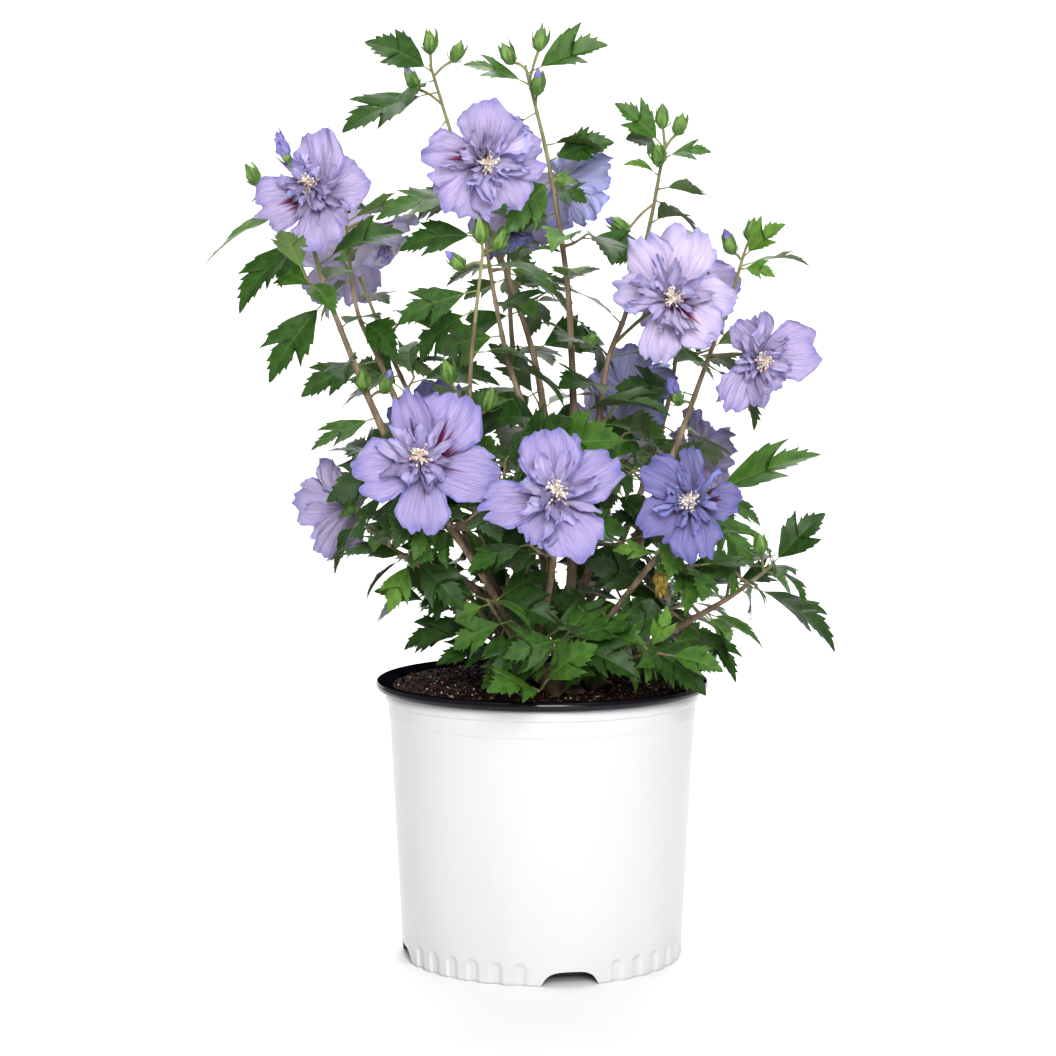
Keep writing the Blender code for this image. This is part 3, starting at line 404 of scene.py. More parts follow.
# Stems rise from the soil and boughs rise from them: parent, share along it, points, radii
limbs = {
    "main_stem": (None, (0.019, -0.078), [(-0.010, -0.046, 0.255), (-0.031, -0.040, 0.300)], 0.0085, 0.0058),
    "right_stem": (None, (0.048, -0.046), [(0.024, -0.008, 0.262), (0.024, 0.002, 0.300)], 0.0070, 0.0048),
    "thin_stem": (None, (0.002, -0.016), [(-0.024, -0.012, 0.254), (-0.040, -0.014, 0.290)], 0.0036, 0.0028),
    "rear_stem": (None, (0.026, 0.034), [(0.018, 0.046, 0.262), (0.004, 0.056, 0.312)], 0.0070, 0.0046),
    "left_bough": ("main_stem", 1.0, [(-0.059, -0.045, 0.344), (-0.095, -0.048, 0.388)], 0.0048, 0.0036),
    "left_rear_bough": ("left_bough", 0.30, [(-0.083, -0.014, 0.400), (-0.113, -0.003, 0.446)], 0.0034, 0.0026),
    "left_low_bough": ("main_stem", 0.86, [(-0.058, -0.060, 0.318), (-0.095, -0.066, 0.335)], 0.0040, 0.0032),
    "front_left_bough": ("main_stem", 0.62, [(-0.046, -0.088, 0.325), (-0.068, -0.110, 0.362)], 0.0030, 0.0024),
    "front_bough": ("main_stem", 0.50, [(0.002, -0.085, 0.300), (0.008, -0.116, 0.340)], 0.0030, 0.0024),
    "mid_left_bough": ("thin_stem", 1.0, [(-0.046, -0.018, 0.335), (-0.058, -0.030, 0.385)], 0.0028, 0.0024),
    "mid_bough": ("main_stem", 0.80, [(-0.012, -0.026, 0.340), (-0.008, -0.022, 0.400)], 0.0034, 0.0028),
    "top_left_bough": ("rear_stem", 0.86, [(0.008, 0.040, 0.360), (0.007, 0.034, 0.420)], 0.0036, 0.0030),
    "centre_bough": ("right_stem", 1.0, [(0.026, 0.002, 0.355), (0.028, 0.000, 0.410)], 0.0044, 0.0034),
    "right_bough": ("right_stem", 0.74, [(0.042, 0.014, 0.335), (0.044, 0.014, 0.400)], 0.0036, 0.0030),
    "far_right_bough": ("right_stem", 0.55, [(0.058, -0.006, 0.315), (0.090, 0.000, 0.375)], 0.0036, 0.0030),
    "right_low_bough": ("right_stem", 0.22, [(0.076, -0.028, 0.260), (0.108, -0.045, 0.280)], 0.0034, 0.0028),
    "front_right_bough": ("right_stem", 0.40, [(0.058, -0.050, 0.295), (0.085, -0.080, 0.335)], 0.0030, 0.0024),
    "rear_left_bough": ("rear_stem", 0.62, [(-0.030, 0.064, 0.330), (-0.075, 0.078, 0.400)], 0.0034, 0.0028),
    "rear_bough": ("rear_stem", 1.0, [(-0.004, 0.078, 0.360), (-0.014, 0.092, 0.420)], 0.0038, 0.0030),
    "rear_right_bough": ("rear_stem", 0.38, [(0.058, 0.060, 0.320), (0.088, 0.078, 0.390)], 0.0034, 0.0028),
    "pruned_stub": ("main_stem", 0.74, [(-0.004, -0.060, 0.300), (0.006, -0.066, 0.312)], 0.0030, 0.0028),
}

# Habit of a shoot: distance between leaves, leaf length at foot and tip, a twig at every so many
# leaves, the twig's length, and the finer leaves and twigs that fill it in
habits = {
    "tall": (0.027, 0.090, 0.062, 6, 0.036, 1),
    "open": (0.032, 0.088, 0.058, 8, 0.036, 0),
    "rear": (0.032, 0.082, 0.060, 3, 0.042, 4),
    "short": (0.019, 0.072, 0.054, 2, 0.036, 6),
    "skirt": (0.017, 0.084, 0.066, 1, 0.056, 9),
}

# Leafy shoots: the limb that each grows on and the share along it, its points and its habit
shoots = {
    "left_tall": ("left_bough", 1.0, [(-0.128, -0.046, 0.440), (-0.162, -0.042, 0.520),
                                      (-0.182, -0.034, 0.574), (-0.200, -0.010, 0.640)], "tall"),
    "left_rear": ("left_rear_bough", 1.0, [(-0.136, 0.008, 0.500), (-0.156, 0.020, 0.545),
                                           (-0.166, 0.040, 0.618)], "open"),
    "left_low": ("left_low_bough", 1.0, [(-0.121, -0.064, 0.348), (-0.149, -0.054, 0.372)], "short"),
    "front_left": ("front_left_bough", 1.0, [(-0.080, -0.122, 0.385), (-0.090, -0.132, 0.410)], "short"),
    "front_centre": ("front_bough", 1.0, [(0.010, -0.136, 0.366), (0.009, -0.150, 0.386)], "short"),
    "mid_left": ("mid_left_bough", 1.0, [(-0.060, -0.044, 0.430), (-0.058, -0.058, 0.500),
                                         (-0.048, -0.064, 0.592)], "open"),
    "mid_tall": ("mid_bough", 1.0, [(-0.010, -0.020, 0.444), (-0.029, -0.024, 0.504),
                                    (-0.044, -0.026, 0.582), (-0.050, -0.026, 0.640)], "tall"),
    "top_left": ("top_left_bough", 1.0, [(-0.006, 0.034, 0.500), (-0.032, 0.040, 0.580),
                                         (-0.066, 0.044, 0.660), (-0.094, 0.032, 0.748)], "open"),
    "centre_tall": ("centre_bough", 1.0, [(0.026, 0.002, 0.470), (0.021, 0.004, 0.564),
                                          (0.006, 0.002, 0.661), (-0.014, 0.000, 0.744)], "tall"),
    "right_tall": ("right_bough", 1.0, [(0.053, 0.018, 0.490), (0.071, 0.020, 0.542),
                                        (0.089, 0.012, 0.610), (0.102, 0.000, 0.682)], "tall"),
    "far_right": ("far_right_bough", 1.0, [(0.110, 0.003, 0.423), (0.134, 0.008, 0.488),
                                           (0.158, 0.006, 0.555), (0.168, 0.002, 0.590)], "tall"),
    "right_low": ("right_low_bough", 1.0, [(0.155, -0.058, 0.310), (0.188, -0.064, 0.336)], "short"),
    "front_right": ("front_right_bough", 1.0, [(0.102, -0.098, 0.358), (0.112, -0.108, 0.374)], "short"),
    "rear_left": ("rear_left_bough", 1.0, [(-0.120, 0.090, 0.480), (-0.158, 0.098, 0.570)], "rear"),
    "rear_tall": ("rear_bough", 1.0, [(-0.026, 0.100, 0.520), (-0.030, 0.104, 0.630)], "rear"),
    "rear_right": ("rear_right_bough", 1.0, [(0.112, 0.092, 0.470), (0.122, 0.096, 0.550)], "rear"),
    "front_skirt": ("main_stem", 0.26, [(0.010, -0.084, 0.262), (0.016, -0.118, 0.282)], "skirt"),
    "front_left_skirt": ("main_stem", 0.40, [(-0.030, -0.080, 0.286), (-0.044, -0.104, 0.312)], "skirt"),
    "left_skirt": ("thin_stem", 0.62, [(-0.052, -0.020, 0.292), (-0.072, -0.030, 0.330)], "skirt"),
    "front_right_skirt": ("right_stem", 0.30, [(0.056, -0.056, 0.258), (0.076, -0.092, 0.280)], "skirt"),
    "right_skirt": ("right_stem", 0.48, [(0.068, 0.006, 0.276), (0.112, 0.010, 0.300)], "skirt"),
    "rear_left_skirt": ("rear_stem", 0.50, [(-0.022, 0.064, 0.290), (-0.056, 0.082, 0.318)], "skirt"),
    "rear_skirt": ("rear_stem", 0.32, [(0.018, 0.084, 0.262), (0.012, 0.122, 0.284)], "skirt"),
    "rear_right_skirt": ("rear_stem", 0.24, [(0.066, 0.058, 0.256), (0.096, 0.080, 0.282)], "skirt"),
    "right_mid": ("far_right_bough", 0.72, [(0.112, -0.022, 0.376), (0.142, -0.030, 0.392)], "short"),
    "left_fill": ("left_bough", 0.62, [(-0.098, -0.074, 0.386), (-0.122, -0.094, 0.400)], "short"),
    "centre_fill": ("mid_bough", 0.50, [(-0.022, -0.058, 0.386), (-0.034, -0.088, 0.404)], "short"),
    "right_fill": ("right_bough", 0.50, [(0.060, -0.024, 0.392), (0.074, -0.054, 0.412)], "short"),
    "rear_fill": ("rear_bough", 0.50, [(0.028, 0.094, 0.396), (0.050, 0.112, 0.412)], "short"),
}
leafNodes = [name + "_leaves" for name in shoots]

# Petals of a bloom: turn in degrees from its right-hand side as seen from its front, reach and
# half width as shares of the bloom's width
petalSets = {
    "even": ((18, 0.50, 0.19), (90, 0.48, 0.20), (162, 0.50, 0.18), (234, 0.47, 0.20), (306, 0.51, 0.19)),
    "tall_top": ((19, 0.44, 0.20), (85, 0.55, 0.20), (196, 0.54, 0.20), (277, 0.52, 0.18), (311, 0.38, 0.14)),
    "six": ((9, 0.45, 0.17), (44, 0.42, 0.13), (92, 0.48, 0.20), (175, 0.50, 0.19), (232, 0.49, 0.20),
            (298, 0.44, 0.22)),
    "narrow_foot": ((69, 0.57, 0.21), (115, 0.53, 0.17), (170, 0.42, 0.15), (261, 0.52, 0.14),
                    (318, 0.50, 0.17), (352, 0.52, 0.20)),
    "to_right": ((11, 0.55, 0.24), (84, 0.42, 0.09), (124, 0.38, 0.12), (232, 0.58, 0.16), (272, 0.45, 0.11),
                 (312, 0.36, 0.15)),
    "ears": ((59, 0.58, 0.22), (106, 0.56, 0.13), (188, 0.52, 0.20), (268, 0.50, 0.17), (347, 0.54, 0.20)),
    "windmill": ((26, 0.54, 0.18), (93, 0.51, 0.21), (193, 0.54, 0.16), (248, 0.38, 0.15), (299, 0.51, 0.21)),
    "ragged": ((96, 0.44, 0.09), (146, 0.50, 0.16), (217, 0.50, 0.19), (282, 0.56, 0.19), (357, 0.42, 0.15)),
}

# Blooms: the shoot and the share along it, centre, facing, width, petals, shade, how far it opens
blooms = [
    # The sky and veil shades, on blooms that stand in shade, are partly painted light
    ("left_tall", 0.90, (-0.182, -0.058, 0.637), (-0.25, -0.95, 0.20), 0.098, "tall_top", "lavender", 1.0),
    ("left_rear", 0.96, (-0.140, 0.052, 0.606), (0.62, 0.10, -0.72), 0.088, "even", "veil", 0.55),
    ("mid_tall", 0.97, (-0.046, -0.068, 0.662), (0.20, -0.95, -0.10), 0.106, "six", "lavender", 0.9),
    ("centre_tall", 0.70, (0.023, 0.030, 0.650), (0.76, 0.60, -0.10), 0.092, "even", "sky", 0.7),
    ("mid_tall", 0.80, (-0.030, 0.000, 0.604), (0.35, 0.25, -0.90), 0.052, "even", "old", 0.2),
    ("right_tall", 0.40, (0.101, -0.062, 0.553), (-0.05, -0.98, 0.10), 0.106, "narrow_foot", "pale", 1.1),
    ("far_right", 0.60, (0.175, -0.050, 0.505), (0.25, -0.92, -0.05), 0.094, "to_right", "lavender", 0.9),
    ("right_tall", 0.14, (0.076, 0.052, 0.474), (0.35, 0.92, 0.10), 0.084, "even", "sky", 0.8),
    ("front_left", 0.95, (-0.092, -0.166, 0.424), (0.05, -0.97, 0.18), 0.108, "ears", "dusk", 1.0),
    ("front_centre", 0.95, (0.007, -0.184, 0.400), (0.00, -0.92, 0.38), 0.108, "windmill", "dusk", 1.0),
    ("front_right", 0.95, (0.117, -0.146, 0.396), (-0.30, -0.90, 0.24), 0.096, "ragged", "blue", 0.9),
    ("left_low", 0.95, (-0.166, -0.034, 0.380), (-0.82, 0.52, -0.15), 0.094, "even", "lavender", 0.7),
    ("rear_left", 0.95, (-0.172, 0.138, 0.590), (-0.45, 0.88, 0.15), 0.102, "even", "pale", 1.0),
    ("rear_tall", 0.95, (-0.026, 0.150, 0.640), (0.10, 0.97, 0.20), 0.104, "six", "lavender", 1.0),
    ("rear_right", 0.95, (0.128, 0.144, 0.556), (0.25, 0.95, 0.12), 0.104, "even", "lavender", 0.9),
    ("rear_left", 0.20, (-0.092, 0.142, 0.436), (-0.30, 0.92, 0.22), 0.098, "even", "blue", 1.0),
    ("rear_fill", 0.95, (0.062, 0.158, 0.424), (0.15, 0.95, 0.28), 0.104, "windmill", "pale", 1.0),
    ("rear_right", 0.16, (0.138, 0.108, 0.412), (0.80, 0.56, 0.15), 0.094, "even", "lavender", 0.9),
]

# Buds: the shoot and the share along it, the bud's centre, and what shows at its tip
buds = [
    ("top_left", 0.99, (-0.094, 0.030, 0.764), "green"), ("top_left", 0.97, (-0.072, 0.034, 0.757), "green"),
    ("top_left", 0.90, (-0.108, 0.026, 0.733), "blue"), ("centre_tall", 0.99, (-0.028, 0.000, 0.752), "green"),
    ("centre_tall", 0.96, (-0.002, -0.006, 0.763), "green"), ("centre_tall", 0.90, (-0.004, -0.014, 0.726), "blue"),
    ("mid_left", 0.95, (-0.068, -0.072, 0.580), "blue"), ("mid_left", 0.99, (-0.050, -0.066, 0.604), "green"),
    ("mid_left", 0.97, (-0.035, -0.070, 0.597), "green"), ("right_tall", 0.99, (0.099, -0.002, 0.700), "green"),
    ("right_tall", 0.97, (0.113, -0.006, 0.694), "green"), ("right_tall", 0.93, (0.096, -0.010, 0.668), "green"),
    ("right_tall", 0.82, (0.066, 0.008, 0.612), "blue"), ("far_right", 0.99, (0.174, 0.000, 0.607), "green"),
    ("far_right", 0.97, (0.156, -0.002, 0.596), "blue"), ("centre_tall", 0.32, (0.038, -0.006, 0.516), "green"),
    ("left_tall", 0.36, (-0.146, -0.056, 0.484), "green"), ("left_tall", 0.34, (-0.128, -0.058, 0.482), "blue"),
    ("left_tall", 0.94, (-0.238, -0.014, 0.652), "green"), ("mid_left", 0.36, (-0.076, -0.056, 0.490), "green"),
    ("mid_left", 0.30, (-0.044, -0.056, 0.468), "green"), ("far_right", 0.42, (0.112, -0.012, 0.470), "furled"),
    ("right_low", 0.90, (0.176, -0.080, 0.352), "green"), ("rear_left", 0.99, (-0.168, 0.090, 0.588), "green"),
    ("rear_tall", 0.99, (-0.040, 0.106, 0.650), "blue"), ("rear_right", 0.99, (0.112, 0.100, 0.568), "green"),
]

# A furled petal cup beside the left bloom and a withered bloom within the skirt: foot of its
# stalk, middle, way it points
extras = {
    "furled": ((-0.196, -0.048, 0.640), (-0.2070, -0.066, 0.668), (-0.35, -0.15, 0.90)),
    "withered": ((0.086, -0.080, 0.340), (0.0955, -0.072, 0.328), (0.10, -0.25, -0.95)),
}

# Leaves that draw the crown's outline: the shoot and the share along it, and the leaf's tip
outerLeaves = [
    ("top_left", 0.98, (-0.146, 0.010, 0.766)),
    ("centre_tall", 0.95, (-0.064, -0.012, 0.746)), ("centre_tall", 0.98, (0.054, -0.014, 0.757)),
    ("centre_tall", 0.76, (0.058, -0.014, 0.682)), ("right_tall", 0.98, (0.060, -0.016, 0.712)),
    ("right_tall", 0.95, (0.138, -0.014, 0.676)), ("right_tall", 0.90, (0.068, -0.014, 0.664)),
    ("left_tall", 0.97, (-0.276, -0.034, 0.580)), ("left_tall", 0.86, (-0.250, -0.050, 0.546)),
    ("left_tall", 0.66, (-0.222, -0.062, 0.486)), ("left_tall", 0.28, (-0.188, -0.062, 0.430)),
    ("left_tall", 0.10, (-0.176, -0.070, 0.394)), ("left_low", 0.20, (-0.122, -0.090, 0.300)),
    ("mid_tall", 0.98, (-0.136, -0.040, 0.622)), ("mid_left", 0.84, (-0.116, -0.082, 0.534)),
    ("far_right", 0.98, (0.200, -0.020, 0.612)), ("far_right", 0.94, (0.192, -0.016, 0.572)),
    ("right_mid", 0.90, (0.226, -0.056, 0.424)), ("right_mid", 0.80, (0.170, -0.064, 0.336)),
    ("right_low", 0.95, (0.229, -0.072, 0.378)), ("right_low", 0.72, (0.241, -0.080, 0.272)),
    ("right_low", 0.42, (0.202, -0.098, 0.280)), ("right_low", 0.30, (0.182, -0.060, 0.266)),
    ("right_low", 0.12, (0.158, -0.084, 0.246)), ("front_right_skirt", 0.92, (0.133, -0.114, 0.243)),
]

hangingLeaves = [("top_left", 0.93, (-0.164, 0.006, 0.690))]      # set last, beside a bud's stalk

growth = {
    "twigFoot": 0.0014, "twigTip": 0.0009, "shootTip": 0.0013, "spurFoot": 0.0022,
    "leafWidth": 0.50, "leafThick": 0.0022, "leafWidest": 0.56, "leafArch": 0.07,
    "droop": (-16, 42),          # degrees below level, least and most
    "crownAxis": (-0.01, 0.05, 0), "tries": 9, "limbSides": 6, "shootSides": 3, "flare": 0.45,
    "overRim": (0.108, 0.250),   # a leaf whose tip is past this radius stays above this height
    "edgeOn": ("right_low", "right_mid"),      # shoots whose outer leaves lie flat
    "petalCorner": 0.94, "petalCup": 0.12, "notchReach": 0.34, "notchCup": 0.06,
}


# Smooth line through a few points
class Line:
    def __init__(self, points, steps=2, startWay=None):
        self.startWay = startWay
        spots = [Vector(p) for p in points]
        ends = [2 * spots[0] - spots[1]] + spots + [2 * spots[-1] - spots[-2]]
        self.spots = [spots[0]]
        for a, b, c, d in zip(ends, ends[1:], ends[2:], ends[3:]):
            for step in range(1, steps + 1):
                t = step / steps
                self.spots.append(0.5 * (2 * b + (c - a) * t + (2 * a - 5 * b + 4 * c - d) * t ** 2
                                         + (3 * b - a - 3 * c + d) * t ** 3))
        self.marks = [0.0]
        for a, b in zip(self.spots, self.spots[1:]):
            self.marks.append(self.marks[-1] + (b - a).length)
        self.length = self.marks[-1]

    def spot(self, share):
        reach = min(max(share, 0.0), 1.0) * self.length
        for a, b, low, high in zip(self.spots, self.spots[1:], self.marks, self.marks[1:]):
            if reach <= high:
                return a.lerp(b, (reach - low) / (high - low))
        return self.spots[-1].copy()

    def way(self, share):
        low, high = max(share - 0.02, 0.0), min(share + 0.02, 1.0)
        return (self.spot(high) - self.spot(low)).normalized()

    def even(self, count):
        spots = np.array([tuple(p) for p in self.spots])
        reach = np.linspace(0, self.length, count)
        return np.stack([np.interp(reach, self.marks, spots[:, k]) for k in range(3)], axis=1)


# Coarse closed shapes that a leaf, twig or flower must keep clear of
def coarseTube(line, foot, tip, sides, fromSoil=False):
    points, faces = [], []
    side = line.way(0).orthogonal().normalized()
    rings = len(line.spots)
    for ring, (spot, mark) in enumerate(zip(line.spots, line.marks)):
        share = mark / line.length
        way = line.startWay if ring == 0 and line.startWay else line.way(share)
        side = (side - way * side.dot(way)).normalized()
        across = way.cross(side)
        radius = foot + (tip - foot) * share
        if fromSoil:
            radius *= 1 + growth["flare"] * max(0.0, 1 - 3 * share) ** 2
        for k in range(sides):
            turn = math.tau * k / sides
            point = spot + radius * (side * math.cos(turn) + across * math.sin(turn))
            if fromSoil and ring == 0:
                point += way * ((soilTop + gap - point.z) / way.z)
            points.append(point)
    for ring in range(rings - 1):
        for k in range(sides):
            a, b = ring * sides + k, ring * sides + (k + 1) % sides
            faces.append((a, b, b + sides, a + sides))
    faces.append(tuple(reversed(range(sides))))
    faces.append(tuple(range((rings - 1) * sides, rings * sides)))
    return points, faces


def coarseBlade(ring, ridge, keel):
    count = len(ring)
    faces = [(k, (k + 1) % count, count) for k in range(count)]
    return ring + [ridge, keel], faces + [((k + 1) % count, k, count + 1) for k in range(count)]


def coarseLeaf(root, way, up, length, grow=0.0):
    side = way.cross(up).normalized()
    normal = side.cross(way)
    half = growth["leafWidth"] * length / 2 + grow
    middle = root + way * (growth["leafWidest"] * length) + normal * (growth["leafArch"] * length)
    ridge = middle + normal * (growth["leafThick"] + grow)
    points = [root - way * grow, middle + side * half, root + way * (length + grow), middle - side * half, ridge]
    return points, [(0, 1, 4), (1, 2, 4), (2, 3, 4), (3, 0, 4), (1, 0, 3), (2, 1, 3)]


def coarseSpindle(foot, head, radius, sides, widest, grow=0.0):
    way = (head - foot).normalized()
    side = way.orthogonal().normalized()
    across = way.cross(side)
    middle = foot.lerp(head, widest)
    turns = [math.tau * k / sides for k in range(sides)]
    ring = [middle + (radius + grow) * (side * math.cos(t) + across * math.sin(t)) for t in turns]
    return coarseBlade(ring, head + way * grow, foot - way * grow)


def petalEdge(petals):
    edge = []
    for (turn, reach, half), (after, afterReach, afterHalf) in zip(petals, petals[1:] + petals[:1]):
        spread = math.degrees(math.atan(half / (0.76 * reach)))
        afterSpread = math.degrees(math.atan(afterHalf / (0.76 * afterReach)))
        between = (after - turn) % 360
        share = min(1.0, (between - 6) / (spread + afterSpread))
        near, far = turn + share * spread, turn + between - share * afterSpread
        edge.append((near, growth["petalCorner"] * reach, growth["petalCup"]))
        edge.append((0.5 * (near + far), growth["notchReach"], growth["notchCup"]))
        edge.append((far, growth["petalCorner"] * afterReach, growth["petalCup"]))
    return edge


def coarseBloom(centre, facing, width, petals, grow=0.0):
    face = Vector(facing).normalized()
    side = Vector((0, 0, 1)).cross(face).normalized()
    across = face.cross(side)
    ring = []
    for turn, reach, cup in petalEdge(petalSets[petals]):
        outward = side * math.cos(math.radians(turn)) + across * math.sin(math.radians(turn))
        ring.append(centre + outward * (reach * width + grow) + face * cup * width)
    shape = coarseBlade(ring, centre + face * (0.06 * width + grow), centre - face * (0.03 * width + grow))
    return [shape, coarseSpindle(centre - face * 0.19 * width, centre + face * 0.17 * width,
                                 0.14 * width, 5, 0.60, grow)]


taken, keptLeaves, keptTwigs, keptBlooms, keptBuds = [], [], [], [], []


def treeOf(shape):
    points, faces = shape
    middle = sum(points, Vector()) / len(points)
    reach = max((p - middle).length for p in points)
    return BVHTree.FromPolygons(points, faces), middle, reach


def take(owner, kind, shape):
    taken.append((owner, kind, *treeOf(shape)))


def isFree(shape, skip):
    tree, middle, reach = treeOf(shape)
    for owner, kind, other, spot, span in taken:
        if (owner, kind) in skip or (middle - spot).length > reach + span:
            continue
        if tree.overlap(other):
            return False
    return True


def limbLine(name, steps=2):
    parent, where, points = limbs[name][:3]
    if parent is None:
        return Line([(*where, soilTop + gap)] + points, steps)
    return branchLine(parent, where, points, steps)


def branchLine(parent, where, points, steps=2):
    line = limbLine(parent)
    start = line.spot(where)
    if where < 1.0:
        return Line([start] + points, steps)
    return Line([start + line.way(1.0) * gap] + points, steps, line.way(1.0))


def shootLine(name, steps=2):
    return branchLine(*shoots[name][:3], steps)


def shootRadii(name):
    parent, where = shoots[name][:2]
    foot, tip = limbs[parent][3:]
    return (foot + (tip - foot) * where if where == 1.0 else growth["spurFoot"]), growth["shootTip"]


def stalkLine(line, share, end):
    start = line.spot(share)
    return Line([start, start.lerp(end, 0.5) + Vector((0, 0, 0.002)), end], 1)


def bloomShapes(entry, grow=0.0):
    shoot, share, centre, facing, width, petals = entry[:6]
    centre = Vector(centre)
    line = stalkLine(shootLine(shoot), share, centre - Vector(facing).normalized() * 0.17 * width)
    return coarseBloom(centre, facing, width, petals, grow), coarseTube(line, growth["twigFoot"], growth["twigFoot"], 3)


def budWay(entry):
    way = (Vector(entry[2]) - shootLine(entry[0]).spot(entry[1])).normalized() + Vector((0, 0, 1))
    return way.normalized()


def budShapes(entry, grow=0.0):
    centre, way = Vector(entry[2]), budWay(entry)
    line = stalkLine(shootLine(entry[0]), entry[1], centre - way * 0.005)
    return ([coarseSpindle(centre - way * 0.008, centre + way * 0.010, 0.0064, 4, 0.42, grow)],
            coarseTube(line, growth["twigFoot"], growth["twigFoot"], 3))


# Leaves turn their upper side upward and out of the crown, and lie flatter in its upper part
def lightWay(root):
    outward = (root - Vector(growth["crownAxis"])) * Vector((1, 1, 0))
    high = min(max((root.z - 0.36) / 0.14, 0.0), 1.0)
    return Vector((0, 0, 0.75 + 0.1 * high)) + (0.9 - 0.2 * high) * outward.normalized()


def hangsOver(tip):
    return math.hypot(tip.x, tip.y) > growth["overRim"][0] and tip.z < growth["overRim"][1]


# A leaf looks for a free place by turning about its shoot
def placeLeaf(owner, root, outward, axis, length, dice, skip):
    for attempt in range(growth["tries"]):
        turn = dice.uniform(-0.4, 0.4) * (1 + attempt)
        droop = math.tan(math.radians(dice.uniform(*growth["droop"])))
        way = outward * math.cos(turn) + axis.cross(outward) * math.sin(turn)
        way = Vector((way.x, way.y, way.z * 0.5)).normalized()
        way = (way - Vector((0, 0, droop))).normalized()
        up = lightWay(root) + Vector([dice.uniform(-0.4, 0.4) for _ in range(3)])
        size = length * dice.uniform(0.85, 1.1) * (1 - 0.04 * attempt)
        if hangsOver(root + way * size):
            continue
        if not isFree(coarseLeaf(root, way, up, size, margin), skip | {(owner, "leaf")}):
            continue
        if not isFree(coarseLeaf(root + way * 0.2 * size, way, up, 0.8 * size), skip):
            continue
        take(owner, "leaf", coarseLeaf(root, way, up, size))
        keptLeaves.append((owner, root, way, up, size))
        return True
    return False


def outerLeaf(name, share, tip, line):
    root, tip = line.spot(share), Vector(tip)
    reach = tip - root
    up = Vector((0.2 * reach.normalized().x, -0.8, 0.6))
    near = coarseLeaf(root + 0.1 * reach, reach.normalized(), up, 0.9 * reach.length, margin)
    if isFree(near, {(name, "stem")}):
        take(name, "leaf", coarseLeaf(root, reach.normalized(), up, reach.length))
        if name in growth["edgeOn"] and tip.z < 0.30:
            up = Vector((0.1, -0.25, 0.95))
        keptLeaves.append((name, root, reach.normalized(), up, reach.length))


def leafRoots(line, habit, dice):
    step, longLeaf, shortLeaf = habit[:3]
    count = max(3, int(line.length / step))
    turn = dice.uniform(0, math.tau)
    for node in range(count):
        share = (node + 0.6) / count
        turn += golden
        way = line.way(share)
        side = way.orthogonal().normalized()
        outward = side * math.cos(turn) + way.cross(side) * math.sin(turn)
        yield node, share, way, outward, longLeaf + (shortLeaf - longLeaf) * share
    for extra in range(3):
        turn += golden
        way = line.way(1.0)
        side = way.orthogonal().normalized()
        yield count, 0.99, way, side * math.cos(turn) + way.cross(side) * math.sin(turn), shortLeaf


def growTwig(owner, start, outward, length, leafLength, dice):
    rise = Vector((0, 0, dice.uniform(0.15, 0.75)))
    way = (Vector((outward.x, outward.y, outward.z * 0.4)).normalized() + rise).normalized()
    end = start + way * length
    knee = start.lerp(end, 0.5) - Vector((0, 0, 0.06 * length))
    line = Line([start, knee, end], 1)
    outer = coarseTube(Line([start.lerp(end, 0.15), knee, end], 1), growth["twigFoot"] + margin,
                       growth["twigTip"] + margin, 3)
    if not isFree(outer, {(owner, "stem")}):
        return
    key = (owner, "twig%d" % len(taken))
    take(*key, coarseTube(line, growth["twigFoot"], growth["twigTip"], 3))
    keptTwigs.append((owner, start, knee, end))
    turn = dice.uniform(0, math.tau)
    for share in (0.45, 0.75, 0.96):
        turn += math.pi * 0.9
        along = line.way(share)
        side = along.cross(Vector((0, 0, 1))).normalized()
        spread = side * math.copysign(1, math.cos(turn)) + along * (0.5 if share < 0.9 else 2.5)
        placeLeaf(owner, line.spot(share), spread.normalized(), along, leafLength, dice, {(owner, "stem"), key})


def growShoot(name):
    line, habit = shootLine(name), habits[shoots[name][3]]
    dice = random.Random("rose of sharon " + name)
    for owner, share, tip in outerLeaves:
        if owner == name:
            outerLeaf(name, share, tip, line)
    every, twig = habit[3:5]
    for node, share, way, outward, length in leafRoots(line, habit, dice):
        if node % every == 0 and share < 0.8:
            growTwig(name, line.spot(share), outward, twig * (1.15 - 0.5 * share), 0.86 * length, dice)
        placeLeaf(name, line.spot(share), outward, way, length, dice, {(name, "stem")})


# Finer twigs and younger leaves between the first ones, within the same reach
def fillShoot(name):
    line, habit = shootLine(name), habits[shoots[name][3]]
    dice = random.Random("young leaves " + name)
    for step in range(habit[5]):
        share = dice.uniform(0.15, 0.95)
        way = line.way(share)
        side = way.orthogonal().normalized()
        turn = dice.uniform(0, math.tau)
        outward = side * math.cos(turn) + way.cross(side) * math.sin(turn)
        if step % 2:
            growTwig(name, line.spot(share), outward, 0.7 * habit[4], 0.56 * habit[1], dice)
        else:
            placeLeaf(name, line.spot(share), outward, way, 0.66 * habit[1], dice, {(name, "stem")})


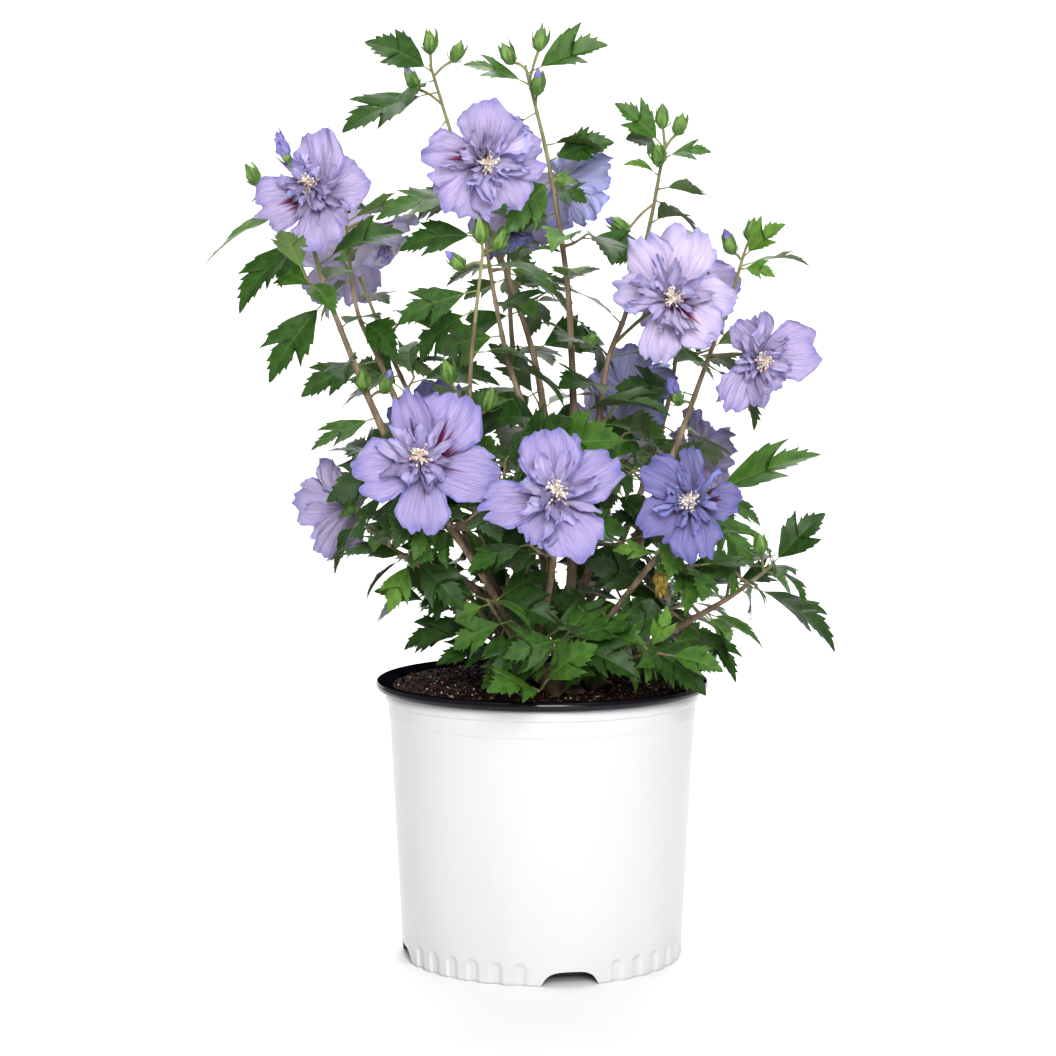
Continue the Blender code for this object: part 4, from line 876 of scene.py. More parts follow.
def growShrub():
    for name in ("pot", "pot_rim", "soil"):
        data = nodes[name].data
        take(name, "pot", ([v.co.copy() for v in data.vertices], [tuple(f.vertices) for f in data.polygons]))
    for name, (parent, _, _, foot, tip) in limbs.items():
        take(name, "stem", coarseTube(limbLine(name), foot + margin, tip + margin, growth["limbSides"],
                                      parent is None))
    for name in shoots:
        foot, tip = shootRadii(name)
        take(name, "stem", coarseTube(shootLine(name), foot + margin, tip + margin, growth["shootSides"]))
    for kind, shapesOf, entries, kept in (("bloom", bloomShapes, blooms, keptBlooms),
                                          ("bud", budShapes, buds, keptBuds)):
        for count, entry in enumerate(entries):
            key = (entry[0], kind + str(count))
            wide, stalk = shapesOf(entry, margin)
            if not all(isFree(shape, {(entry[0], "stem"), key}) for shape in wide + [stalk]):
                continue
            wide, stalk = shapesOf(entry)
            for shape in wide + [stalk]:
                take(*key, shape)
            kept.append(entry)
    for name in shoots:
        growShoot(name)
    firstLeaves = len(keptLeaves)
    for name in shoots:
        fillShoot(name)
    for name, share, tip in hangingLeaves:
        root = shootLine(name).spot(share)
        reach = Vector(tip) - root
        keptLeaves.append((name, root, reach.normalized(), Vector((-0.4, -0.7, 0.5)), reach.length))
    print(firstLeaves, "leaves as in the solids,", len(keptLeaves), "in all,", len(keptTwigs), "twigs,",
          len(keptBlooms), "blooms,", len(keptBuds), "buds")


# Pot of white plastic, with flutes round its foot and four drain notches
pot = {
    "height": 0.2345, "lipHeight": 0.0085, "neckRadius": 0.1317, "neckHeight": 0.0085,
    "shoulderRadius": 0.1285, "shoulderHeight": 0.014, "footRadius": 0.1177, "wall": 0.0025,
    "fluteHeight": 0.019, "fluteDepth": 0.0021, "flutePitch": 10.0, "fluteWidth": 5.2,   # degrees
    "drains": 4, "drainTurn": 11.0, "drainWidth": 0.048, "drainHeight": 0.0115, "drainDepth": 0.024,
    "white": (0.635, 0.625, 0.650), "shade": (0.580, 0.568, 0.592), "roughness": 0.30,
}


def potRadius(radii, heights, turn):
    degrees = np.degrees(turn) - pot["drainTurn"]
    fromDrain = (degrees + 45) % 90 - 45                    # turn from the nearest notch
    local = (fromDrain + pot["flutePitch"] / 2) % pot["flutePitch"] - pot["flutePitch"] / 2
    half = pot["fluteWidth"] / 2
    inside = np.clip(1 - np.abs(local) / half, 0, 1)
    arch = pot["fluteHeight"] - 0.0050 * (1 - np.sqrt(np.clip(1 - (local / half) ** 2, 0, 1)))
    below = np.clip((arch - heights) / 0.0030, 0, 1)
    clear = np.clip((np.abs(fromDrain) - 14) / 0.5, 0, 1)    # no flute beside a notch
    depth = pot["fluteDepth"] * np.clip(inside * 3.0, 0, 1) ** 0.8 * below * clear
    return radii - np.where(heights < 0.022, depth, 0)


def makePot():
    shell = mottledMaterial("whitePlastic", pot["shade"], pot["white"], pot["roughness"], 9.0, 0.5,
                            relief=0.06, depth=0.0004, low=0.15, high=0.60, gloss=0.12)
    # The notch's inner faces are painted near black: painted shade in the hollow drain notch
    inside = mottledMaterial("notchPaintedShade", (0.02, 0.02, 0.022), (0.05, 0.05, 0.052), 0.6, 60.0)
    heap = Heap("potShell", [shell, inside])
    neck = pot["height"] - pot["lipHeight"] - pot["neckHeight"]
    shoulder, top = neck - pot["shoulderHeight"], pot["height"] - pot["lipHeight"] - 0.0002
    foot, wall = pot["footRadius"], pot["wall"]

    def wallAt(height):
        return foot + (pot["shoulderRadius"] - foot) * height / shoulder

    profile = [(foot - wall - 0.004, 0.0012), (foot - 0.0022, 0.0004), (foot - 0.0010, 0.0)]
    profile += [(wallAt(h) - 0.0003 * (h < 0.001), h) for h in
                (0.0008, 0.002, 0.004, 0.006, 0.008, 0.010, 0.0115, 0.013, 0.0145, 0.016, 0.0175, 0.019,
                 0.0205, 0.022, 0.03)]
    profile += [(wallAt(h), h) for h in np.linspace(0.045, shoulder - 0.0012, 10)]
    low, high = pot["shoulderRadius"], pot["neckRadius"]
    profile += [(low + 0.0001, shoulder - 0.0004), (low + 0.0006, shoulder + 0.0001), (low + 0.0009, shoulder + 0.0010),
                (low + 0.0010, shoulder + 0.0030), (low + 0.0012, neck - 0.0022), (low + 0.0013, neck - 0.0012),
                (high - 0.0009, neck - 0.0005), (high - 0.0002, neck + 0.0002), (high, neck + 0.0012),
                (high + 0.0001, top - 0.001), (high - 0.0006, top), (high - wall, top),
                (low - wall, shoulder), (foot - wall - 0.0006, 0.0042), (0.03, 0.0042), (0.0004, 0.0042)]
    profile = [(0.0004, 0.0018), (0.03, 0.0018), (foot - wall - 0.006, 0.0018)] + profile
    lathe(heap, profile, 432, radiusAt=potRadius)
    shellPiece = heap.build("white_plastic", ["pot"])
    cutter = makeNotches(inside)
    cut = shellPiece.modifiers.new("notches", "BOOLEAN")
    cut.operation, cut.object, cut.solver = "DIFFERENCE", cutter, "EXACT"
    view = bpy.context.evaluated_depsgraph_get()
    shellPiece.data = bpy.data.meshes.new_from_object(shellPiece.evaluated_get(view))
    shellPiece.modifiers.clear()
    bpy.data.objects.remove(cutter, do_unlink=True)
    shellPiece.data.set_sharp_from_angle(angle=math.radians(38))


# Drain notch as a block with a narrower, rounded top; its faces carry the near-black painted shade into the cut notch
def makeNotches(material):
    cutter = Heap("notchCutter", [material, material])
    outline = []
    for share in np.linspace(0, 1, 13):
        turn = math.pi * share
        across = math.copysign(abs(math.cos(turn)) ** 0.55, math.cos(turn))
        height = math.sin(turn) ** 0.55
        outline.append((across * 0.5 * pot["drainWidth"] * (1 - 0.24 * height), 0.0 + pot["drainHeight"] * height))
    outline = [(0.5 * pot["drainWidth"] + 0.003, -0.004)] + outline + [(-0.5 * pot["drainWidth"] - 0.003, -0.004)]
    for k in range(pot["drains"]):
        turn = math.radians(pot["drainTurn"] - 90) + math.tau * k / pot["drains"]
        outward = np.array((math.cos(turn), math.sin(turn), 0))
        side = np.array((-math.sin(turn), math.cos(turn), 0))
        near, far = pot["footRadius"] - pot["drainDepth"], pot["footRadius"] + 0.006
        middle = np.mean(outline, axis=0)
        rows = []
        for reach, size in ((near, 0.002), (near, 1.0), (far, 1.0), (far, 0.002)):
            rows.append([outward * reach + side * (middle[0] + (x - middle[0]) * size)
                         + np.array((0, 0, middle[1] + (z - middle[1]) * size)) for x, z in outline])
        cutter.sheet(np.array(rows), ring=True, slot=1)
    return cutter.build()


lip = {"radius": 0.1400, "black": (0.0022, 0.0018, 0.0032), "sheen": (0.005, 0.004, 0.007), "roughness": 0.14}


def makeLip():
    shell = mottledMaterial("blackPlastic", lip["black"], lip["sheen"], lip["roughness"], 30.0,
                            relief=0.10, depth=0.0004, gloss=0.08, specular=0.26)
    matt = mottledMaterial("blackFlange", lip["black"], lip["sheen"], 0.8, 30.0, relief=0.10, depth=0.0004,
                           specular=0.0)
    heap = Heap("rolledLip", [shell, matt])
    low, top, edge = pot["height"] - pot["lipHeight"], pot["height"], lip["radius"]
    inner, skirt = pot["neckRadius"] - pot["wall"] - 0.0003, 0.2156
    roll = []
    for turn in np.linspace(-90, 90, 17):                    # rolled edge
        t = math.radians(turn)
        roll.append((edge - 0.0040 + 0.0040 * math.cos(t), 0.5 * (low + top) + 0.00425 * math.sin(t)))
    lathe(heap, roll[:13], 192)
    profile = roll[12:]
    profile += [(edge - 0.0055, top - 0.0004), (edge - 0.0075, top - 0.0015), (edge - 0.0105, top - 0.0028)]
    profile += [(0.1272, 0.2308), (0.1260, 0.2300), (0.12575, 0.2285), (0.12566, skirt), (0.12726, skirt)]
    profile += [(inner, low - 0.0006), (inner + 0.0006, low + 0.0002), (edge - 0.0060, low + 0.0001), roll[0]]
    lathe(heap, profile, 192, 1)
    heap.build("black_plastic", ["pot_rim"])


# Potting mix: a lumpy bed, bark chips of several browns and white perlite
mix = {"edge": 0.2298, "chips": 4600, "perlite": 330, "chipSize": (0.0012, 0.0046), "perliteSize": (0.0007, 0.0019),
       "browns": [(0.010, 0.0036, 0.0022), (0.026, 0.0090, 0.0050), (0.070, 0.025, 0.013), (0.006, 0.0024, 0.0018),
                  (0.130, 0.058, 0.031)]}


def bedHeight(reach, turn):
    dome = soilTop - 0.0004 - (soilTop - mix["edge"]) * np.clip(reach / 0.1255, 0, 1) ** 2
    return dome + 0.0007 * np.sin(reach * 190 + 3 * turn) * np.sin(5 * turn + 2) + 0.0005 * np.sin(11 * turn + reach * 400)


def makeSoil():
    dice = np.random.default_rng(7)
    shades = [mottledMaterial("chipBrown%d" % k, tuple(0.6 * c for c in shade), shade, 0.85, 260.0,
                              relief=0.5, depth=0.0006, specular=0.12) for k, shade in enumerate(mix["browns"])]
    bed = Heap("mixBed", [shades[0]])
    radii = np.concatenate([[0.0003], np.linspace(0.003, 0.1255, 60)])
    turn = np.linspace(0, math.tau, 220, endpoint=False)
    reach = radii[::-1, None] + 0 * turn[None, :]
    height = bedHeight(reach, turn[None, :]) + dice.normal(0, 0.00035, reach.shape) * (reach < 0.125)
    bed.sheet(np.stack([reach * np.cos(turn), reach * np.sin(turn), height], axis=2), ring=True)
    bed.build("potting_mix", ["soil"])
    chips = Heap("barkChips", shades)
    scatter(chips, dice, mix["chips"], mix["chipSize"], len(shades))
    chips.build("potting_mix", ["soil"], smooth=False)
    white = mottledMaterial("perliteWhite", (0.62, 0.59, 0.54), (0.86, 0.84, 0.80), 0.9, 400.0)
    grains = Heap("perlite", [white])
    scatter(grains, dice, mix["perlite"], mix["perliteSize"], 1, 0.8, 0.0011)
    grains.build("potting_mix", ["soil"], smooth=False)


# Rough six-sided bits strewn over the bed, each a ring of points between two ends
def scatter(heap, dice, count, sizes, shades, thick=0.45, lift=0.0002):
    for _ in range(count):
        reach, turn = 0.1238 * math.sqrt(dice.uniform(0, 1)), dice.uniform(0, math.tau)
        size = sizes[0] + (sizes[1] - sizes[0]) * dice.uniform(0, 1) ** 2.5
        axes = np.linalg.qr(dice.normal(0, 1, (3, 3)))[0]
        if dice.uniform() < 0.75:                            # most lie flat
            spin = dice.uniform(0, math.tau)
            axes = np.array([(math.cos(spin), math.sin(spin), dice.normal(0, 0.2)),
                             (-math.sin(spin), math.cos(spin), dice.normal(0, 0.2)), (0, 0, 1)])
        corner = np.array([math.cos(turn) * reach, math.sin(turn) * reach, 0])
        corner[2] = float(bedHeight(reach, turn)) + 0.12 * size + lift
        rows = []
        for level, wide in ((-0.5, 0.3), (-0.3, 0.9), (0.35, 0.8), (0.5, 0.2)):
            angles = np.linspace(0, math.tau, 5, endpoint=False) + dice.uniform(-0.3, 0.3, 5)
            around = wide * (0.5 + dice.uniform(-0.1, 0.1, 5))
            local = np.stack([np.full(5, level) + dice.uniform(-0.05, 0.05, 5), 0.6 * around * np.cos(angles),
                              thick * around * np.sin(angles)], axis=1) * size
            rows.append(corner + local @ axes)
        heap.sheet(np.array(rows), ring=True, slot=int(dice.integers(shades)))


# Stems: old bark at the foot, smoother bark above, green toward the tips
stems = {
    "oldDark": (0.070, 0.042, 0.026), "oldLight": (0.19, 0.130, 0.082),
    "youngDark": (0.135, 0.088, 0.050), "youngLight": (0.29, 0.215, 0.135),
    "greenDark": (0.16, 0.14, 0.055), "greenLight": (0.27, 0.27, 0.12),
    "ringStep": 0.0032, "oldSides": 16, "youngSides": 10, "relief": 0.045,
}


def taper(line, foot, tip, flare=0.0, nodesAt=()):
    count = max(6, int(line.length / stems["ringStep"]))
    share = np.linspace(0, 1, count)
    radii = foot + (tip - foot) * share
    radii *= 1 + flare * np.clip(1 - 3 * share, 0, 1) ** 2
    for node in nodesAt:
        radii *= 1 + 0.16 * np.exp(-((share - node) * line.length / 0.0022) ** 2)
    return line.even(count), radii


def makeStems():
    old = mottledMaterial("oldBark", stems["oldDark"], stems["oldLight"], 0.85, 130.0, 0.22, relief=0.8, depth=0.0012)
    young = mottledMaterial("youngBark", stems["youngDark"], stems["youngLight"], 0.7, 150.0, 0.15,
                            relief=0.5, depth=0.0006)
    green = mottledMaterial("greenStem", stems["greenDark"], stems["greenLight"], 0.6, 170.0, 0.15,
                            relief=0.3, depth=0.0004)
    wood = Heap("woodyStems", [old, young])
    for name, (parent, where, _, foot, tip) in limbs.items():
        dice = random.Random("bark " + name)
        line = limbLine(name, 12)
        if parent is None:
            buried = line.spots[0] - line.way(0) * 0.006
            line = Line([buried] + line.spots[::6], 6)
        spread = 0.10 if parent and where == 1.0 else 0.45
        places, radii = taper(line, foot, tip, spread if parent else growth["flare"] + 0.2)
        thick = parent is None or name in ("left_bough", "left_low_bough", "pruned_stub")
        rod(wood, places, radii, stems["oldSides"], 0 if thick else 1, stems["relief"] * (1.2 if thick else 0.6), dice)
    wood.build("old_bark", list(limbs))
    slim = Heap("shootStems", [young, green])
    for name in shoots:
        dice = random.Random("bark " + name)
        line, (foot, tip) = shootLine(name, 12), shootRadii(name)
        habit = habits[shoots[name][3]]
        count = max(3, int(line.length / habit[0]))
        places, radii = taper(line, foot, tip, 0.25, [(node + 0.6) / count for node in range(count)])
        part = int(0.72 * len(places)) if habit[4] != 0.056 else 4
        rod(slim, places[:part + 1], radii[:part + 1], stems["youngSides"], 0, 0.020, dice)
        rod(slim, places[part:], radii[part:], stems["youngSides"], 1, 0.015, dice)
    slim.build("young_bark", leafNodes)
    twigs = Heap("twigs", [green, young])
    for owner, start, knee, end in keptTwigs:
        line = Line([start, knee, end], 6)
        rod(twigs, *taper(line, 1.15 * growth["twigFoot"], growth["twigTip"], 0.3, (0.45, 0.75)), 7, 1)
    for entry in keptBlooms:
        back = Vector(entry[2]) - Vector(entry[3]).normalized() * 0.16 * entry[4]
        line = Line(stalkLine(shootLine(entry[0]), entry[1], back).spots, 6)
        rod(twigs, *taper(line, 0.0014, 0.0019, 0.2), 8, 0)
    for entry in keptBuds:
        line = Line(stalkLine(shootLine(entry[0]), entry[1], Vector(entry[2]) - budWay(entry) * 0.006).spots, 6)
        rod(twigs, *taper(line, 0.0011, 0.0014, 0.2), 7, 0)
    twigs.build("young_bark", leafNodes)


# Leaves: half outlines from the base to the tip, lobed and plain, as across and along
leaf = {
    "lobed": [(0.004, 0.000), (0.040, 0.045), (0.090, 0.115), (0.145, 0.195), (0.200, 0.280), (0.245, 0.350),
              (0.290, 0.425), (0.262, 0.425), (0.302, 0.490), (0.345, 0.565), (0.300, 0.560), (0.325, 0.640),
              (0.355, 0.735), (0.280, 0.665), (0.200, 0.595), (0.122, 0.540), (0.148, 0.620), (0.206, 0.715),
              (0.158, 0.695), (0.165, 0.755), (0.186, 0.825), (0.125, 0.795), (0.122, 0.850), (0.130, 0.900),
              (0.080, 0.875), (0.070, 0.920), (0.052, 0.950), (0.026, 0.985), (0.003, 1.000)],
    "plain": [(0.004, 0.000), (0.045, 0.045), (0.100, 0.115), (0.155, 0.195), (0.205, 0.280), (0.240, 0.350),
              (0.276, 0.430), (0.236, 0.425), (0.258, 0.490), (0.290, 0.570), (0.240, 0.555), (0.252, 0.610),
              (0.262, 0.665), (0.235, 0.650), (0.222, 0.645), (0.210, 0.650), (0.215, 0.690), (0.228, 0.745),
              (0.176, 0.722), (0.176, 0.775), (0.180, 0.830), (0.130, 0.805), (0.122, 0.850), (0.120, 0.900),
              (0.076, 0.875), (0.068, 0.915), (0.050, 0.945), (0.025, 0.980), (0.003, 1.000)],
    "columns": (-1.0, -0.72, -0.42, -0.16, 0.0, 0.16, 0.42, 0.72, 1.0),
    "stalk": 0.17,               # of the whole length
    "greens": [                  # dark, light, veins, underside
        ((0.010, 0.035, 0.004), (0.020, 0.064, 0.007), (0.070, 0.140, 0.030), (0.040, 0.076, 0.018)),
        ((0.016, 0.056, 0.006), (0.033, 0.098, 0.010), (0.100, 0.190, 0.042), (0.054, 0.102, 0.023)),
        ((0.028, 0.088, 0.009), (0.055, 0.148, 0.016), (0.145, 0.255, 0.058), (0.072, 0.134, 0.030)),
        ((0.062, 0.162, 0.016), (0.110, 0.245, 0.026), (0.230, 0.365, 0.090), (0.110, 0.195, 0.042)),
    ],
}


def leafSheet(heap, root, way, up, size, dice, slot, stemRoot):
    side = unit(np.cross(way, up))
    normal = np.cross(side, way)
    lobes = dice.uniform(0.25, 1.35)
    outline = lobes * np.array(leaf["lobed"]) + (1 - lobes) * np.array(leaf["plain"])
    columns = np.array(leaf["columns"])
    across = np.zeros((len(outline), len(columns)))
    along = np.zeros_like(across)
    for sign in (-1, 1):
        edge = outline[:, 0] * (1 + 0.05 * np.array([dice.uniform(-1, 1) for _ in outline]))
        far = outline[:, 1] + 0.006 * np.array([dice.uniform(-1, 1) for _ in edge])
        far[0], far[-1] = 0.0, 1.0
        near = np.maximum.accumulate(np.clip(outline[:, 1] - 0.76 * outline[:, 0], 0, 1) + 0.0015 * np.arange(len(edge)))
        near = near / near[-1]
        share = np.abs(columns[None, :])
        mine = (columns * sign > 0)[None, :] | (columns == 0)[None, :]
        across = np.where(mine, columns[None, :] * edge[:, None], across)
        along = np.where(mine, near[:, None] + (far - near)[:, None] * share ** 0.9, along)
    wide = dice.uniform(0.90, 1.12)
    stalk = leaf["stalk"] * dice.uniform(0.8, 1.2)
    blade = (1 - stalk) * size
    fold, curl, twist = dice.uniform(0.05, 0.50), dice.uniform(0.04, 0.42), dice.uniform(-0.7, 0.7)
    roll = dice.choice((-1, 1)) * dice.uniform(0, 0.55)
    if dice.random() < 0.15:
        fold += 0.4
    spread = np.stack([0.5 + across / 0.8, along], axis=2)
    share = stalk + (1 - stalk) * along
    x = across * wide * blade
    rise = growth["leafArch"] * size * share * (1 - share) / (0.56 * 0.44)
    rise -= curl * size * np.clip(along - 0.45, 0, 1) ** 2
    rise = rise + fold * np.abs(x) - 0.35 * fold * np.abs(x) ** 2 / (0.3 * blade)
    rise = rise + 0.010 * size * (np.abs(across) / 0.3) ** 2 * np.sin(dice.uniform(9, 15) * along + dice.uniform(0, 6)
                                                                      + np.sign(across) * dice.uniform(0.5, 2))
    rise = rise + 0.004 * size * np.sin(26 * (along - 0.8 * np.abs(across))) * np.clip(np.abs(across) / 0.1, 0, 1)
    turn = twist * along + roll
    sway = dice.uniform(-0.07, 0.07) * size * along ** 2
    y = share * size
    lateral = x * np.cos(turn) + sway
    lift = rise + x * np.sin(turn)
    grid = root + way * y[..., None] + side * lateral[..., None] + normal * lift[..., None]
    heap.sheet(grid, spread, slot)
    steps = np.linspace(0, 1, 6)[:, None]
    foot = grid[0].mean(axis=0)
    bend = 0.5 * (stemRoot + foot) + normal * 0.010 * size
    path = (1 - steps) ** 2 * stemRoot + 2 * steps * (1 - steps) * bend + steps ** 2 * foot
    return path


def makeLeaves():
    materials = [leafMaterial("leafGreen%d" % k, *greens) for k, greens in enumerate(leaf["greens"])]
    stalks = Heap("leafStalks", [mottledMaterial("leafStalk", (0.12, 0.17, 0.05), (0.24, 0.27, 0.09), 0.6, 120.0)])
    heaps = [Heap("upperLeaves", materials, "leafMap"), Heap("skirtLeaves", materials, "leafMap")]
    for count, (owner, root, way, up, size) in enumerate(keptLeaves):
        dice = random.Random("leaf %d" % count)
        low = root.z < 0.42
        pick = dice.random() + (0.18 if size < 0.050 else 0.0) + (0.10 if root.z > 0.55 else -0.05)
        slot = 0 if pick < 0.28 else 1 if pick < 0.66 else 2 if pick < 0.97 else 3
        path = leafSheet(heaps[int(low)], flat(root), flat(way), flat(up), size, dice, slot, flat(root))
        rod(stalks, path, np.linspace(0.00085, 0.00062, 6), 5)
    for heap in heaps:
        heap.build("foliage", leafNodes)
    stalks.build("foliage", leafNodes)


# Blooms: five broad crinkled petals round a full tuft of narrow ones
bloom = {
    "lean": (50, -12), "rows": 28, "columns": 33,
    "eyes": {"even": (1, 3), "tall_top": (2,), "six": (3,), "narrow_foot": (4,), "to_right": (5,),      # petals
             "ears": (0, 1), "windmill": (), "ragged": (4,)},
    "tuft": [(9, 0.35, 0.056, (54, 2)), (10, 0.28, 0.044, (64, 16)), (9, 0.21, 0.032, (80, 40))],
    "shades": {                  # pale, deep, edge, eye
        "lavender": ((0.560, 0.475, 0.740), (0.300, 0.248, 0.560), (0.160, 0.160, 0.520), (0.190, 0.005, 0.060)),
        "pale": ((0.720, 0.620, 0.860), (0.430, 0.365, 0.680), (0.220, 0.230, 0.600), (0.220, 0.008, 0.070)),
        "dusk": ((0.460, 0.390, 0.680), (0.240, 0.205, 0.510), (0.115, 0.125, 0.480), (0.170, 0.004, 0.055)),
        # sky and veil: the bluer and paler colours of blooms behind the others, painted lighter still as painted light
        # on blooms in shade
        "sky": ((0.560, 0.570, 0.930), (0.310, 0.330, 0.760), (0.150, 0.175, 0.630), (0.170, 0.007, 0.068)),
        "veil": ((0.800, 0.735, 0.920), (0.520, 0.470, 0.780), (0.290, 0.300, 0.700), (0.220, 0.010, 0.075)),
        "blue": ((0.260, 0.240, 0.520), (0.105, 0.103, 0.350), (0.055, 0.068, 0.345), (0.150, 0.005, 0.060)),
        "old": ((0.126, 0.135, 0.360), (0.054, 0.063, 0.234), (0.036, 0.045, 0.198), (0.102, 0.009, 0.060)),
        # tuftLavender and tuftBlue: the petaloids' own pale lavender and blue, painted lighter still as painted light
        # against the shade deep in the tuft
        "tuftLavender": ((0.740, 0.645, 0.960), (0.430, 0.380, 0.840), (0.210, 0.225, 0.740), (0.380, 0.170, 0.390)),
        "tuftBlue": ((0.400, 0.400, 0.820), (0.190, 0.195, 0.620), (0.110, 0.130, 0.560), (0.262, 0.115, 0.344)),
    },
    "cream": (0.70, 0.60, 0.50), "peach": (0.66, 0.34, 0.24),
    "sepalDark": (0.060, 0.150, 0.026), "sepalLight": (0.165, 0.300, 0.055),
}


# A petal spreads outward from its claw; its end and sides are notched, its blade folded and ruffled
def petal(heap, base, outward, face, length, half, leans, dice, slot, rows, columns, claw=0.16, blunt=0.30,
          cup=0.0, roll=0.0, fold=0.012, ruffle=0.020, widest=0.72, point=False, notches=0, eye=True):
    v, u = np.linspace(0, 1, rows)[:, None], np.linspace(-1, 1, columns)[None, :]
    lean = np.radians(leans[0] + (leans[1] - leans[0]) * v[:, 0] ** 0.8)
    step = length / (rows - 1)
    reach = np.concatenate([[0], np.cumsum(np.cos(lean[:-1]))]) * step
    rise = np.concatenate([[0], np.cumsum(np.sin(lean[:-1]))]) * step
    wide = claw + (1 - claw) * np.sin(np.clip(v / widest, 0, 1) * math.pi / 2) ** 1.2
    wide *= 1 - (0.96 if point else 0.16) * np.clip((v - widest) / (1 - widest), 0, 1) ** (1.2 if point else 2)
    short = -blunt * length * np.abs(u) ** 2.6 * v ** 2 * (0.3 if point else 1)
    short = short + 0.030 * length * waver(dice, u, 0 * v, 3, 8) * v ** 4
    for k in range(notches):
        deep, spot, narrow = dice.uniform(0.03, 0.10), dice.uniform(-0.85, 0.85), dice.uniform(0.06, 0.16)
        short = short - deep * length * np.exp(-((u - spot) / narrow) ** 2) * v ** 5
    if notches:
        short = short + 0.004 * length * waver(dice, u, 0 * v, 13, 21, 2) * v ** 8
    lift = cup * length * u ** 2 * v + fold * length * waver(dice, u, 0.3 * v, 3.0, 5.5, 2) * v ** 1.3
    lift = lift + 0.50 * fold * length * waver(dice, u, 0.5 * v, 10, 16, 2) * v
    lift = lift + 0.20 * fold * length * waver(dice, u, 0.7 * v, 24, 36, 2) * v
    lift = lift + ruffle * length * waver(dice, u, 0.5 * v, 5, 8, 2) * np.clip((v - 0.5) / 0.5, 0, 1) ** 2
    lift = lift + ruffle * length * waver(dice, 0.3 * u, v, 7, 12, 2) * np.abs(u) ** 3 * v
    x = u * half * wide * (1 + (0.03 * waver(dice, 0 * u, v, 5, 9, 2) + 0.02 * waver(dice, 0 * u, v, 20, 32, 2))
                           * np.abs(u) ** 3)
    x, lift = x * math.cos(roll) - lift * math.sin(roll), lift * math.cos(roll) + x * math.sin(roll)
    ahead, above = np.cos(lean)[:, None], np.sin(lean)[:, None]
    away = reach[:, None] + short * ahead - lift * above
    high = rise[:, None] + short * above + lift * ahead
    across = np.cross(outward, face)
    grid = base + outward * away[..., None] + face * high[..., None] + across * x[..., None]
    shown = v if eye else v + 0.50 * (1 - v) ** 2            # past the eye's colour on the petal's map
    heap.sheet(grid, np.stack([(u + 1) / 2 + 0 * v, shown + 0 * u], axis=2), slot)


def grain(heap, spot, radius, slot=0):
    turn = np.linspace(0, math.tau, 6, endpoint=False)
    tilt = np.linspace(-1.5, 1.5, 5)[:, None]
    ball = np.stack([np.cos(tilt) * np.cos(turn), np.cos(tilt) * np.sin(turn), np.sin(tilt) + 0 * turn], axis=2)
    heap.sheet(spot + radius * ball, ring=True, slot=slot)


# Pod with ribs, for a bud or the cup behind a bloom
def pod(heap, foot, head, radius, slot, ribs=5, depth=0.08, fullness=0.42, rows=14, sides=30, crumple=0.0,
        dice=None, point=0.85):
    way = unit(head - foot)
    side = unit(flat(Vector(way).orthogonal()))
    across = np.cross(way, side)
    turn, level = np.linspace(0, math.tau, sides, endpoint=False)[None, :], np.linspace(0, 1, rows)[:, None]
    swell = np.where(level < fullness, np.sin(0.5 * math.pi * np.clip(level / fullness, 0, 1)) ** 0.7,
                     np.cos(0.5 * math.pi * np.clip((level - fullness) / (1 - fullness), 0, 1)) ** point)
    radii = radius * np.maximum(swell, 0.03) * (1 - depth * np.abs(np.cos(0.5 * ribs * turn)) ** 6)
    if crumple:
        radii = radii * (1 + crumple * waver(dice, 3 * np.cos(turn), 4 * level, 1, 3))
    around = np.cos(turn)[..., None] * side + np.sin(turn)[..., None] * across
    grid = foot + (level * np.linalg.norm(head - foot))[..., None] * way + radii[..., None] * around
    heap.sheet(grid, ring=True, slot=slot)


def bracts(heap, base, way, count, length, half, leans, dice, slot, rows=7):
    side = unit(flat(Vector(way).orthogonal()))
    across = np.cross(way, side)
    for k in range(count):
        turn = math.tau * (k + dice.uniform(-0.15, 0.15)) / count
        outward = math.cos(turn) * side + math.sin(turn) * across
        petal(heap, base, outward, way, length * dice.uniform(0.85, 1.15), half,
              (leans[0] + dice.uniform(-10, 10), leans[1] + dice.uniform(-12, 12)), dice, slot, rows, 4,
              claw=0.5, blunt=0.1, fold=0.0, ruffle=0.01, widest=0.4, point=True)


